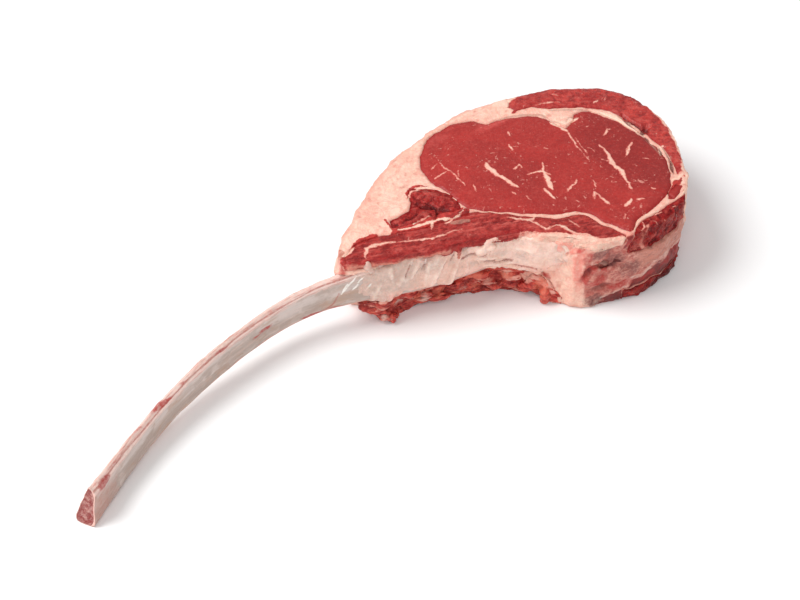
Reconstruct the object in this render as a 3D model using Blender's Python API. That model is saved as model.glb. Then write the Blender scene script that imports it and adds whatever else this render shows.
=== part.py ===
"""A raw tomahawk steak: a thick slice of beef rib with the whole rib bone left on.

The steak lies flat. +X runs along it, from the bone's cut tip towards the meat, +Y towards the fat cap
and +Z up. The origin is on the underside, below the middle of the eye muscle.
"""

import bmesh
import bpy
from mathutils import Vector, noise

MM = 0.001

THICKNESS = 50 * MM
GAP = 0.3 * MM
OUTSIDE = 12 * MM  # how far a cutter runs past what it cuts
OUTLINE_STEP = 6 * MM
BONE_STEP = 9 * MM
RAG_STEP = 3.5 * MM

# Outlines are seen from above, anticlockwise, in millimetres. A smooth curve runs through their points.
SLAB = [
    (-132.5, 6), (-122, 19.5), (-98, 34.5), (-68, 52), (-40, 60), (-10, 63.2), (18, 59), (45, 50.3), (67, 36.5),
    (78.5, 18), (80, -7), (75.5, -22), (66, -39), (55, -55), (39, -66), (14, -70), (-4, -67.4), (-14.5, -63.2),
    (-21, -54.5), (-36, -38.4), (-47, -29), (-66, -22.5), (-90, -15.6), (-116, -5), (-128, -0.5),
]
EYE = [
    (-54, 12), (-54, -1), (-40, -14), (-22, -30), (-8, -36), (-3.5, -43), (4, -66), (12, -61), (30, -58),
    (46, -51), (58, -35), (61, -14), (59, 4), (52, 22.5), (42, 25), (39, 21.5), (31, 18.5), (28, 27),
    (24, 37.5), (8, 45.5), (-4, 47.5), (-7, 54), (-20, 59), (-38, 56), (-50, 47), (-57, 33),
]
CAP_INNER = [
    (16.5, 52), (17, 47.5), (27, 45), (34, 38), (47, 30), (59, 18.5), (63, 7), (64, -12), (63, -30), (55.5, -47.5),
]
CAP_OUTER = [(74, -53), (100, -10), (84, 44), (48, 68), (22, 62)]
STRIP = [
    (-130.5, 4), (-127, 8.5), (-118, 11.3), (-104, 8.8), (-88, 3.2), (-70, -1.6), (-51, -6.6), (-36, -20.5),
    (-21.4, -34.4), (-8, -39.6), (-4.5, -49), (0.5, -66),
]
STRIP_FRONT = [(-4, -74), (-26, -60), (-50, -40), (-80, -30), (-118, -14), (-132, -5)]
LIP = [
    (-54.8, 13), (-58.5, 20), (-66, 26), (-70, 30), (-74, 26), (-76, 20.5), (-80, 15.3), (-93, 15.5),
    (-95.5, 10.5), (-88, 8), (-79, 6), (-68, 4.6), (-58, 0.4), (-55.6, 6),
]
CHINE_INNER = [(49, -60.5), (36, -61.8), (22, -63), (11, -64.5), (5, -68.5)]
CHINE_OUTER = [(6, -80), (28, -84), (60, -72)]
SMALL = [(37, -58.2), (41, -55), (48.5, -52.6), (51, -54.8), (47, -57.6), (40, -59.6)]

# Below the top edge the front is fat and bone: the rib strip stops at this line and only its lip lies over it.
FRONT_ZONE_LINE = [
    (-150, 26), (-119, 12), (-100, 2), (-80, -7), (-60, -12), (-48, -19.5), (-36, -29), (-26, -40), (-16, -51),
    (-6, -60), (8, -66),
]
FRONT_ZONE_OUTSIDE = [(12, -90), (-40, -80), (-150, -30)]
FRONT_ZONE_TOP = 45 * MM
# A patch of fat lies on the chine muscle's wall, with meat above and below it.
WALL_PATCH_LINE = [(-12, -54), (4, -64.5), (15, -65.5), (28, -64.5), (40, -60.5), (53, -51)]
WALL_PATCH_OUTSIDE = [(70, -60), (40, -90), (-20, -90)]
WALL_PATCH_HEIGHT = (8 * MM, 35 * MM)
# An open blood vessel in the wall's corner.
VESSEL = (-5.5, -67.3, 30)
VESSEL_RADIUS = 2.6 * MM

# Height, how far the slab's wall is drawn in there at a cut wall, and at the rounded fat cap behind.
WALL = [(0, 0, 4.5), (4, -0.8, 1.6), (13, -1, -0.6), (34, -0.5, -1), (46, 0, -0.8), (50, 0.4, 0.2)]

# The rib at several places along it: its inner face in plan, its lower edge, its height and its thickness.
RIB = [
    (-304.8, -33.6, 0, 23, 10.8),
    (-276, -17.2, 1.6, 20.1, 9.6),
    (-246, -4, 5.3, 18.3, 9),
    (-210, 6, 8.8, 19.6, 8.8),
    (-172, 10.8, 12.8, 19.8, 8.8),
    (-146, 8.2, 15.8, 21, 9),
    (-125, 0.3, 18.4, 24.3, 9),
    (-104, -8.8, 19.5, 26, 9),
    (-84, -16.4, 20.5, 25.2, 9),
    (-62, -21.5, 22, 23.4, 8.6),
    (-42, -25.5, 24, 20, 8),
]
# Its section as shares of thickness, away from the inner face, and of height: a flat inner face, a sloping
# crest and a rounded outer face that is fullest low down.
RIB_SECTION = [
    (0.14, 0.01), (0.0, 0.1), (0.05, 0.5), (0.01, 0.88), (0.06, 0.95), (0.14, 0.99), (0.25, 1.0), (0.38, 0.93),
    (0.55, 0.74), (0.75, 0.5), (0.93, 0.27), (1.0, 0.14), (0.96, 0.03), (0.7, 0.0), (0.38, 0.0),
]
CAP_START = 0.42  # the wall starts to be a fat cap where it faces this far forward
CAP_BLEND = 1.2  # and becomes one at this rate as it turns to face back
RIB_SAW_LEAN = 0.27  # the sawn tip leans back by this share of the height
RIB_FACE = 0.2  # points of the section up to this share of the thickness are on the inner face
RIB_IN_SLAB = 4  # from this place on the slab needs room for the rib
RIB_BARE_END = -66 * MM  # the inner face is bare up to here, and under fat beyond

# The ragged meat below the rib: its front edge in plan, its lower and upper edges and its depth.
RAG = [
    (-124, 2.5, 11, 19.5, 14),
    (-117, -2.5, 5, 21, 14),
    (-111, -6, 0, 21, 13),
    (-101, -4, 0, 22, 11.5),
    (-88.5, -6.6, 0, 22.5, 11),
    (-77.5, -10, 0, 23.5, 11),
    (-66.5, -13.2, 0, 25, 11),
    (-55.5, -17.4, 0, 25.5, 9.5),
    (-44.7, -25, 0, 24, 8),
    (-36.6, -33, 0, 21, 6),
    (-30.5, -42.8, 0, 14, 6),
    (-26, -50.5, 0, 6, 5),
]
RAG_FACING = Vector((-0.49, -0.87))
# Its section as shares of depth, inwards from the front edge, and of height.
RAG_SECTION = [
    (0.12, 0.0), (0.0, 0.12), (0.02, 0.34), (-0.06, 0.56), (-0.12, 0.8), (-0.06, 1.0), (1.0, 0.9), (1.0, 0.0),
]
RAG_BACK = 1  # where the section's smooth back lies
RAG_ROUGHNESS = 1.6 * MM
RAG_LUMP = 7 * MM

FAT = (0.87, 0.62, 0.52)
FAT_ROUGHNESS = 0.4
LEAN = (0.42, 0.055, 0.045)
DARK_LEAN = (0.30, 0.035, 0.035)
LEAN_ROUGHNESS = 0.35
BONE = (0.60, 0.46, 0.42)
BONE_ROUGHNESS = 0.45


def spline(points, closed, step):
    """Points about a step apart on the Catmull-Rom curve through the given ones."""
    given = [Vector(point) for point in points]
    count = len(given)
    found = []
    for index in range(count if closed else count - 1):
        near = [index - 1, index, index + 1, index + 2]
        if closed:
            a, b, c, d = (given[i % count] for i in near)
        else:
            a, b, c, d = (given[min(max(i, 0), count - 1)] for i in near)
        pieces = max(1, round((c - b).length / step))
        for piece in range(pieces):
            t = piece / pieces
            found.append(
                0.5 * (2 * b + (c - a) * t + (2 * a - 5 * b + 4 * c - d) * t**2 + (3 * b - a - 3 * c + d) * t**3)
            )
    if not closed:
        found.append(given[-1])
    return found


def outline(points, closed=True):
    return spline([(x * MM, y * MM) for x, y in points], closed, OUTLINE_STEP)


def sharp(points):
    return [Vector((x * MM, y * MM)) for x, y in points]


def closed_loop(*parts):
    """The parts as one loop that runs anticlockwise."""
    loop = [point for part in parts for point in part]
    area = sum(loop[i - 1].cross(loop[i]) for i in range(len(loop)))
    return loop if area > 0 else loop[::-1]


def outward(loop, index):
    """The unit vector that points out of an anticlockwise loop at one of its points."""
    before = loop[index] - loop[index - 1]
    after = loop[(index + 1) % len(loop)] - loop[index]
    along = before.normalized() + after.normalized()
    return Vector((along.y, -along.x)).normalized()


def grown(loop, distance):
    return [point + distance * outward(loop, index) for index, point in enumerate(loop)]


def scene_object(name, mesh, helper):
    """An object with the mesh. A helper only cuts others."""
    obj = bpy.data.objects.new(name, mesh)
    bpy.context.scene.collection.objects.link(obj)
    if helper:
        obj.hide_render = True
        obj.display_type = "WIRE"
    return obj


def mesh_object(name, rings, helper=False):
    """A closed solid with the rings as its cross-sections, one after another."""
    mesh = bpy.data.meshes.new(name)
    bm = bmesh.new()
    loops = [[bm.verts.new(point) for point in ring] for ring in rings]
    for lower, upper in zip(loops, loops[1:]):
        for index in range(len(lower)):
            bm.faces.new((lower[index - 1], lower[index], upper[index], upper[index - 1]))
    bm.faces.new(loops[0])
    bm.faces.new(loops[-1])
    bmesh.ops.triangulate(bm, faces=bm.faces)
    bmesh.ops.recalc_face_normals(bm, faces=bm.faces)
    bm.to_mesh(mesh)
    bm.free()
    return scene_object(name, mesh, helper)


def prism(name, loop, bottom, top):
    return mesh_object(name, [[(p.x, p.y, z) for p in loop] for z in (bottom, top)], helper=True)


def carve(obj, operation, other):
    modifier = obj.modifiers.new(other.name, "BOOLEAN")
    modifier.operation = operation
    modifier.solver = "EXACT"
    modifier.object = other


def paint(obj, colour, roughness):
    material = bpy.data.materials.new(obj.name)
    material.use_nodes = True
    shader = material.node_tree.nodes["Principled BSDF"]
    shader.inputs["Base Color"].default_value = (*colour, 1)
    shader.inputs["Roughness"].default_value = roughness
    shader.inputs["Metallic"].default_value = 0
    material.diffuse_color = (*colour, 1)
    obj.data.materials.append(material)


def slab(name):
    """The whole slice without its bone: its wall is drawn in a little at the top and bottom edges."""
    loop = closed_loop(outline(SLAB))
    rings = []
    for height, at_cut, at_cap in WALL:
        ring = []
        for index, point in enumerate(loop):
            away = outward(loop, index)
            cap = min(max(CAP_BLEND * (away.y + CAP_START), 0), 1)
            inset = (at_cut * (1 - cap) + at_cap * cap) * MM
            ring.append((*(point - inset * away), height * MM))
        rings.append(ring)
    return mesh_object(name, rings)


def heading(stations, index):
    """The unit vector along the stations in plan."""
    ahead = stations[min(index + 1, len(stations) - 1)]
    behind = stations[max(index - 1, 0)]
    return Vector((ahead[0] - behind[0], ahead[1] - behind[1])).normalized()


def rib(name, start=0, grow=0.0, helper=False):
    """The rib from one of its given places on. The room for it is grown, and open in front of its bare face."""
    stations = spline([[v * MM for v in station] for station in RIB[start:]], False, BONE_STEP)
    rings = []
    for index, station in enumerate(stations):
        x, y, bottom, height, thickness = station
        along = heading(stations, index)
        away = Vector((-along.y, along.x))
        is_tip = index == 0 and start == 0
        is_end = index == len(stations) - 1
        ring = []
        section = [Vector((u * thickness, v * height)) for u, v in reversed(RIB_SECTION)]
        for point in grown(section, grow):
            place = Vector((x, y)) + point.x * away
            place += (is_tip * RIB_SAW_LEAN * point.y + is_end * grow) * along
            if helper and x < RIB_BARE_END and point.x < RIB_FACE * thickness:
                place -= OUTSIDE * away
            ring.append((*place, bottom + point.y))
        rings.append(ring)
    return mesh_object(name, rings, helper)


def rag(name):
    """The ragged meat below the rib, with a rough front."""
    stations = spline([[v * MM for v in station] for station in RAG], False, RAG_STEP)
    rings = []
    for x, y, bottom, top, depth in stations:
        bottom = max(bottom, 0)
        ring = []
        for u, v in RAG_SECTION:
            place = Vector((*(Vector((x, y)) - u * depth * RAG_FACING), bottom + v * (top - bottom)))
            if u < RAG_BACK and v > 0:
                place += RAG_ROUGHNESS * noise.noise(place / RAG_LUMP) * RAG_FACING.to_3d()
            ring.append(place)
        rings.append(ring)
    return mesh_object(name, rings)


def rag_place(name):
    """The room for the ragged meat, open to the front, to the floor and past its outer end."""
    stations = spline([[v * MM for v in station] for station in RAG], False, RAG_STEP)
    along = Vector((-RAG_FACING.y, RAG_FACING.x))
    rings = []
    for index, (x, y, _, top, depth) in enumerate(stations):
        start = Vector((x, y))
        if index == 0:
            start -= OUTSIDE * along
        if index == len(stations) - 1:
            start += GAP * along
        front = start + OUTSIDE * RAG_FACING
        back = start - (depth + GAP) * RAG_FACING
        corners = ((front, -OUTSIDE), (front, top + GAP), (back, top + GAP), (back, -OUTSIDE))
        rings.append([(*place, height) for place, height in corners])
    return mesh_object(name, rings, helper=True)


def muscle(name, loop, colour):
    """A muscle that runs through the slice, and the helper that clears its place in the fat."""
    solid = slab(name)
    carve(solid, "INTERSECT", prism(name + "_prism", loop, -OUTSIDE, THICKNESS + OUTSIDE))
    paint(solid, colour, LEAN_ROUGHNESS)
    return solid, prism(name + "_place", grown(loop, GAP), -OUTSIDE, THICKNESS + OUTSIDE)


def ball(name, place, radius):
    mesh = bpy.data.meshes.new(name)
    bm = bmesh.new()
    bmesh.ops.create_icosphere(bm, subdivisions=2, radius=radius)
    bm.to_mesh(mesh)
    bm.free()
    obj = scene_object(name, mesh, helper=True)
    obj.location = Vector(place) * MM
    return obj


def band(name, line, outside, bottom, top, grow=0.0):
    """A prism between a line inside the slab and points outside it."""
    loop = closed_loop(outline(line, closed=False), sharp(outside))
    return prism(name, grown(loop, grow), bottom, top)


def build_rib():
    paint(rib("rib_bone"), BONE, BONE_ROUGHNESS)
    return rib("bone_place", RIB_IN_SLAB, GAP, helper=True)


def build_ragged_meat(bone_place):
    meat = rag("intercostal_meat")
    carve(meat, "DIFFERENCE", bone_place)
    paint(meat, DARK_LEAN, LEAN_ROUGHNESS)
    return rag_place("meat_place")


def build_strip(bone_place, meat_place):
    """The long muscle over the rib. On the front only its lip lies over the fat and the bone."""
    loop = closed_loop(outline(STRIP, closed=False), sharp(STRIP_FRONT))
    strip, place = muscle("rib_strip", loop, LEAN)
    bottom = -2 * OUTSIDE
    zone = band("front_zone", FRONT_ZONE_LINE, FRONT_ZONE_OUTSIDE, bottom, FRONT_ZONE_TOP)
    clear = band("front_zone_clear", FRONT_ZONE_LINE, FRONT_ZONE_OUTSIDE, bottom, FRONT_ZONE_TOP + GAP, GAP)
    for cutter in (clear, bone_place, meat_place):
        carve(strip, "DIFFERENCE", cutter)
    carve(place, "DIFFERENCE", zone)
    return place


def build_chine_muscle():
    """The coarse muscle at the right end, with a patch of fat over the middle of its wall."""
    loop = closed_loop(outline(CHINE_INNER, closed=False), sharp(CHINE_OUTER))
    chine, place = muscle("chine_muscle", loop, DARK_LEAN)
    bottom, top = WALL_PATCH_HEIGHT
    patch = band("wall_patch", WALL_PATCH_LINE, WALL_PATCH_OUTSIDE, bottom, top)
    clear = band("wall_patch_clear", WALL_PATCH_LINE, WALL_PATCH_OUTSIDE, bottom - GAP, top + GAP, GAP)
    carve(chine, "DIFFERENCE", clear)
    carve(place, "DIFFERENCE", patch)
    return place


def build():
    for obj in list(bpy.data.objects):
        bpy.data.objects.remove(obj)

    bone_place = build_rib()
    meat_place = build_ragged_meat(bone_place)
    places = [bone_place, meat_place]
    for name, loop, colour in (
        ("eye_muscle", outline(EYE), LEAN),
        ("cap_muscle", outline(CAP_INNER, closed=False) + sharp(CAP_OUTER), LEAN),
        ("lip_muscle", outline(LIP), DARK_LEAN),
        ("small_muscle", outline(SMALL), LEAN),
    ):
        places.append(muscle(name, closed_loop(loop), colour)[1])
    places.append(build_strip(bone_place, meat_place))
    places.append(build_chine_muscle())

    fat = slab("fat")
    for place in places:
        carve(fat, "DIFFERENCE", place)
    carve(fat, "DIFFERENCE", ball("vessel", VESSEL, VESSEL_RADIUS))
    paint(fat, FAT, FAT_ROUGHNESS)


build()
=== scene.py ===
# A raw tomahawk steak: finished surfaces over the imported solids.
# Sizes are millimetres in the row frame, unless a name says metres. Colours are given as a picture shows them.
import math

import bmesh
import bpy
import numpy as np
from mathutils import Matrix, Vector
from mathutils.bvhtree import BVHTree
from mathutils.kdtree import KDTree


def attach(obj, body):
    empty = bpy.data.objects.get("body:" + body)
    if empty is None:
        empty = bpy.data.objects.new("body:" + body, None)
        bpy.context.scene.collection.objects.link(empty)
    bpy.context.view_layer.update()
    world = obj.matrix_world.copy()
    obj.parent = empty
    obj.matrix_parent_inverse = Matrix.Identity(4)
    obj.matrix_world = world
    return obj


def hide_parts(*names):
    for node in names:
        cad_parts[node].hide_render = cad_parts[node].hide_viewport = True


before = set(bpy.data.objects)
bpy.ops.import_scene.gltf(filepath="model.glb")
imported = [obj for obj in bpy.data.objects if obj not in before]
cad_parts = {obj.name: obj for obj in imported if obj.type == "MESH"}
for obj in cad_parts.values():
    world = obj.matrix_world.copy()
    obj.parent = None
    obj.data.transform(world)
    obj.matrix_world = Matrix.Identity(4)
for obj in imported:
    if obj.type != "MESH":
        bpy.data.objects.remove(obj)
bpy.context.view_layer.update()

mm = 0.001
thickness = 50


# Smooth random values from -1 to 1, in lumps about size across. Size may be one number or one for each axis.
def softNoise(places, size, seed):
    spots = places / np.array(size, float) + seed * 17.31
    cells = np.floor(spots).astype(np.int64)
    inside = spots - cells
    inside = inside**3 * (inside * (inside * 6 - 15) + 10)
    total = np.zeros(len(places))
    for corner in np.ndindex(2, 2, 2):
        key = (cells + corner) @ np.array([73856093, 19349663, 83492791]) + seed * 49979687
        key = ((key ^ (key >> 15)) * 2246822519) & 0xFFFFFFFF
        key = ((key ^ (key >> 13)) * 3266489917) & 0xFFFFFFFF
        value = (key ^ (key >> 16)) / 2147483648 - 1
        total += value * np.prod(np.where(corner, inside, 1 - inside), axis=1)
    return total


# The same along two or more axes at once, one seed for each.
def softDrift(places, size, *seeds):
    return np.stack([softNoise(places, size, seed) for seed in seeds], axis=1)


# Soft noise with finer lumps added, each layer half as large and half as strong.
def layeredNoise(places, size, layers, seed):
    total = 0
    for layer in range(layers):
        total = total + 0.5**layer * softNoise(places, np.array(size, float) / 2**layer, seed + layer)
    return total


# 0 before start, 1 after end, and smooth between them.
def fade(values, start, end):
    t = np.clip((values - start) / (end - start), 0, 1)
    return t * t * (3 - 2 * t)


# Points about a step apart on the smooth curve through the given ones. Only the first columns are a place.
def smoothLine(points, step, closed=False, columns=3):
    given = np.array(points, float)
    count = len(given)
    found = []
    for index in range(count if closed else count - 1):
        near = [index - 1, index, index + 1, index + 2]
        a, b, c, d = given[[i % count if closed else min(max(i, 0), count - 1) for i in near]]
        pieces = max(1, round(np.linalg.norm((c - b)[:columns]) / step))
        for t in np.arange(pieces) / pieces:
            found.append(
                0.5 * (2 * b + (c - a) * t + (2 * a - 5 * b + 4 * c - d) * t**2 + (3 * b - a - 3 * c + d) * t**3)
            )
    if not closed:
        found.append(given[-1])
    return np.array(found)


# How far along a line each of its points is.
def lengthsAlong(line):
    return np.concatenate([[0], np.cumsum(np.linalg.norm(np.diff(line, axis=0), axis=1))])


# Which way a line runs in plan at each of its points.
def headingsOf(line):
    heading = np.gradient(line[:, :2], axis=0)
    return heading / np.linalg.norm(heading, axis=1)[:, None]


# How far each place is from a line, and how far along the line its nearest point is, from 0 to 1.
# Where facing is given it is measured over the surface: the line may stand off it by up to reach.
def lineDistance(places, line, facing=None, reach=7):
    places = places[:, : line.shape[1]]
    best = np.full(len(places), 1e9)
    along = np.zeros(len(places))
    lengths = np.linalg.norm(np.diff(line, axis=0), axis=1)
    done = 0
    for start, end, length in zip(line, line[1:], lengths):
        t = np.clip((places - start) @ (end - start) / length**2, 0, 1)
        gap = places - start - t[:, None] * (end - start)
        if facing is None:
            distance = np.linalg.norm(gap, axis=1)
        else:
            across = (gap * facing).sum(axis=1)
            distance = np.linalg.norm(gap - across[:, None] * facing, axis=1) + 1e6 * (np.abs(across) > reach)
        nearer = distance < best
        best[nearer] = distance[nearer]
        along[nearer] = (done + t[nearer] * length) / lengths.sum()
        done += length
    return best, along


# A soft band along a line: 1 on it, dying away about half off it. A taper thins the band out toward both ends.
def softBand(places, line, half, facing=None, step=1.5, taper=None, fullness=0.6, reach=7):
    distance, along = lineDistance(places, smoothLine(line, step), facing, reach)
    band = np.exp(-((distance / half) ** 2))
    if taper:
        band = band * np.sin(math.pi * np.clip(along, taper, 1 - taper)) ** fullness
    return band


# How deep each place lies inside the nearest of some tapering strokes, in mm. Outside it is under 0.
def strokeDepth(places, strokes):
    depth = np.full(len(places), -20.0)
    for width, line in strokes:
        distance, along = lineDistance(places, smoothLine(line, 2.5))
        half = width / 2 * (0.35 + 0.65 * np.abs(np.sin(math.pi * along)) ** 0.6)
        depth = np.maximum(depth, half - distance)
    return depth


# A soft spot for each place and size given. It is strongest at its middle.
def spotMask(places, spots):
    mask = np.zeros(len(places))
    for amount, middle, size in spots:
        distance = np.linalg.norm((places - np.array(middle, float)) / np.array(size, float), axis=1)
        mask = np.maximum(mask, amount * (1 - fade(distance, 0.35, 1.15)))
    return mask


# The places of a mesh's points in mm, and the way that each faces.
def readMesh(mesh):
    places = np.empty(len(mesh.vertices) * 3, np.float32)
    facing = np.empty(len(mesh.vertices) * 3, np.float32)
    mesh.vertices.foreach_get("co", places)
    mesh.vertex_normals.foreach_get("vector", facing)
    return places.reshape(-1, 3).astype(float) / mm, facing.reshape(-1, 3).astype(float)


def writeMesh(mesh, places):
    mesh.vertices.foreach_set("co", (places * mm).astype(np.float32).ravel())
    mesh.update()


def pointTree(places):
    tree = KDTree(len(places))
    for index, place in enumerate(places):
        tree.insert(place, index)
    tree.balance()
    return tree


# Keeps a value for each point of the mesh, under the name that the finishes read it by.
def keepMask(mesh, name, values):
    attribute = mesh.attributes.new(name, "FLOAT", "POINT")
    attribute.data.foreach_set("value", np.asarray(values, np.float32))


def newObject(name, data):
    piece = bpy.data.objects.new(name, data)
    bpy.context.scene.collection.objects.link(piece)
    return piece


# Adds ball-like lumps of flesh to a mesh that is being made.
def addLumps(bm, lumps):
    for middle, size, turn in lumps:
        spin = Matrix.Rotation(math.radians(turn), 4, "Z")
        place = Matrix.Translation(Vector(middle) * mm) @ spin @ Matrix.Diagonal((*(Vector(size) * mm), 1))
        bmesh.ops.create_icosphere(bm, subdivisions=3, radius=1, matrix=place)


# Turns a piece into one closed skin of small even faces.
def evenOut(piece, grid):
    remesh = piece.modifiers.new("evenFaces", "REMESH")
    remesh.mode = "VOXEL"
    remesh.voxel_size = grid * mm


# A closed copy of a CAD node with small even faces and eased corners. More rounds ease the corners more.
def denseCopy(name, node, grid, lumps=(), rounds=2):
    bm = bmesh.new()
    bm.from_mesh(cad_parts[node].data)
    bmesh.ops.remove_doubles(bm, verts=bm.verts, dist=1e-6)
    addLumps(bm, lumps)
    mesh = bpy.data.meshes.new(name)
    bm.to_mesh(mesh)
    bm.free()
    piece = newObject(name, mesh)
    evenOut(piece, grid)
    piece.modifiers.new("easedCorners", "SMOOTH").iterations = rounds
    applyModifiers(piece)
    return piece


# Turns the faces of a mesh outward, and adds lumps to it.
def faceOutward(mesh, lumps=()):
    bm = bmesh.new()
    bm.from_mesh(mesh)
    bmesh.ops.recalc_face_normals(bm, faces=bm.faces)
    addLumps(bm, lumps)
    bm.to_mesh(mesh)
    bm.free()


# Gives a piece the mesh that its modifiers make, and takes them off.
def applyModifiers(piece):
    done = bpy.data.meshes.new_from_object(piece.evaluated_get(bpy.context.evaluated_depsgraph_get()))
    piece.modifiers.clear()
    old = piece.data
    piece.data = done
    bpy.data.meshes.remove(old)
    done.shade_smooth()


def report(piece):
    piece.data.calc_loop_triangles()
    print("shaped", piece.name, len(piece.data.loop_triangles), "triangles")


# Thins out the faces where hidden is set, which no view shows. Share is how much of the whole mesh stays.
def thinHidden(piece, hidden, share):
    group = piece.vertex_groups.new(name="hidden")
    group.add([int(i) for i in np.flatnonzero(hidden)], 1, "REPLACE")
    decimate = piece.modifiers.new("thinHidden", "DECIMATE")
    decimate.ratio = share
    decimate.vertex_group = "hidden"
    decimate.vertex_group_factor = 10
    applyModifiers(piece)
    piece.vertex_groups.clear()


# What the whole slice shares, so that neighbours still meet.
sliceLook = {
    "seamWobbles": [(0.6, (7, 7, 9), 11), (0.34, (2.4, 2.4, 3.2), 21)],  # how far the seams wander, lump size, seed
    "wobbleFree": (1, 8),  # up and down they hold still at the cut faces, and are free this far from them
    "cutWaves": [(0.55, 42, 31), (0.22, 14, 32)],  # the knife's slow waves in the cut faces: height, length, seed
    "closeGap": 0.22,  # neighbours grow into the CAD gap by this
    "faceDepth": 4,  # points this near a cut face's level may belong to it
    "faceTilt": (0.35, 0.75),  # and they do where they face up or down by this share
    "floorGap": 0.02,  # nothing goes lower than this
    "raggedMarks": [(1, 2.2, (51, 52)), (1.5, 6, (53, 54)), (0.6, 1.1, (56, 57))],  # tears in the streaks' edges
    "raggedReach": 0.36,
    "streakWobble": (0.3, 3, 55),  # mm, lump size and seed of a slower waver in their width
    "drawnFull": 1,  # drawn marks are full to this depth in both cut faces
    "drawnEnd": (5, 4),  # and end at this depth in the upper and the lower one
    "streakRise": 0.16,  # how far streaks of fat stand up from the cut face
    "streakEdge": (-0.6, 0.4),  # that comes up between these depths inside a mark. The other edges are the same kind
    "silverDip": 0.22,  # how far silverskin sinks into it
    "silverEdge": (-0.9, 0.3),
    "leanRise": 0.45,  # how far lean stands up where it runs on over the fat
    "leanEdge": (-0.3, 1.4),
    "rimFall": 1.3,  # how far the strip's fat rim slopes down
    "rimEdge": (-0.5, 4.5),
    "rimSlope": 0.75,  # turns the distance along y beyond the rim into a depth
    "filmRise": 0.5,  # thickness of the film of fat on the outer wall
    "filmEdge": (0.4, 0.62),
    "filmTear": 0.55,  # how torn that film is
    "wallBorderEdge": (-0.6, 1.2),  # the same for the border of lean and fat there
    "fills": [  # where two solids that show as one are drawn together over their seam: amount, place, size
        (1, (18, 58, 25), (3.2, 7, 60)),
        (1, (59.5, -48.5, 25), (5, 5, 60)),
        (1, (50.5, -57.5, 38), (4, 5, 14)),
        (1, (-50, -27.5, 45), (11, 6, 3)),
        (1, (-36, -38.5, 45), (10, 9, 3)),
        (1, (-24, -51, 45), (9, 10, 3)),
        (1, (-12, -64, 45), (10, 7, 3)),
        (1, (-130.5, 3, 48), (3.4, 4, 6)),
    ],
    "fillHeight": 0.6,
    "fillOverlap": 1.2,  # the same where the two solids touch
    # the block's front corner is drawn along the front face: where, how far, and its reach left, right and inward
    "corner": ((-18.5, -58.9), (-4.2, 4.9), (20, 56, 24)),
    "cornerAlong": (0.81, -0.59),  # the way along that corner, from left to right
    "cornerTop": 0.12,  # the share of it that is left at the upper cut face, where the seams stay in place
    "cornerTopDepth": (50, 35),
    "borderTear": (3.6, (12, 12, 6), 71),  # mm, lump size and seed of the tears in the border of lean and fat
    "hub": (20, 0),
    # degrees round the hub, and how high the lean comes there on the outside
    "leanHeights": [
        (-124, -6), (-116, -2), (-110, 3), (-104, 8), (-98, 12), (-91, 15), (-85, 17), (-77, 18), (-64, 18),
        (-58, 22), (-52, 30), (-47, 42), (-42, 62), (60, 70), (76, 66), (82, 54), (86, 40), (91, 31), (96, 22),
        (101, 13), (106, 5), (112, -6),
    ],
}


def sharedWobble(places):
    shift = np.zeros_like(places)
    for amount, size, seed in sliceLook["seamWobbles"]:
        shift += amount * softDrift(places, size, seed, seed + 1, seed + 2)
    held, free = sliceLook["wobbleFree"]
    shift[:, 2] *= 2 * fade(places[:, 2], held, free) * fade(thickness - places[:, 2], held, free)
    corner, drawn, (leftward, rightward, inward) = sliceLook["corner"]
    alongX, alongY = sliceLook["cornerAlong"]
    aside = (places[:, :2] - corner) @ (alongX, alongY)
    deep = (places[:, :2] - corner) @ (-alongY, alongX)
    near = 1 - fade(np.hypot(aside / np.where(aside < 0, leftward, rightward), deep / inward), 0, 1)
    below = fade(places[:, 2], *sliceLook["cornerTopDepth"])
    near *= sliceLook["cornerTop"] + (1 - sliceLook["cornerTop"]) * below
    shift[:, :2] += near[:, None] * drawn
    return shift


def sharedWave(places):
    return sum(height * softNoise(places * (1, 1, 0), length, seed) for height, length, seed in sliceLook["cutWaves"])


# How far below the border between lean and fat each place on the outside is.
# The border follows no seam of the solids.
def leanOutside(places):
    around = np.degrees(np.arctan2(places[:, 1] - sliceLook["hub"][1], places[:, 0] - sliceLook["hub"][0]))
    angles, heights = np.array(sliceLook["leanHeights"]).T
    reach, size, seed = sliceLook["borderTear"]
    return np.interp(around, angles, heights) - places[:, 2] + reach * layeredNoise(places, size, 4, seed)


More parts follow.
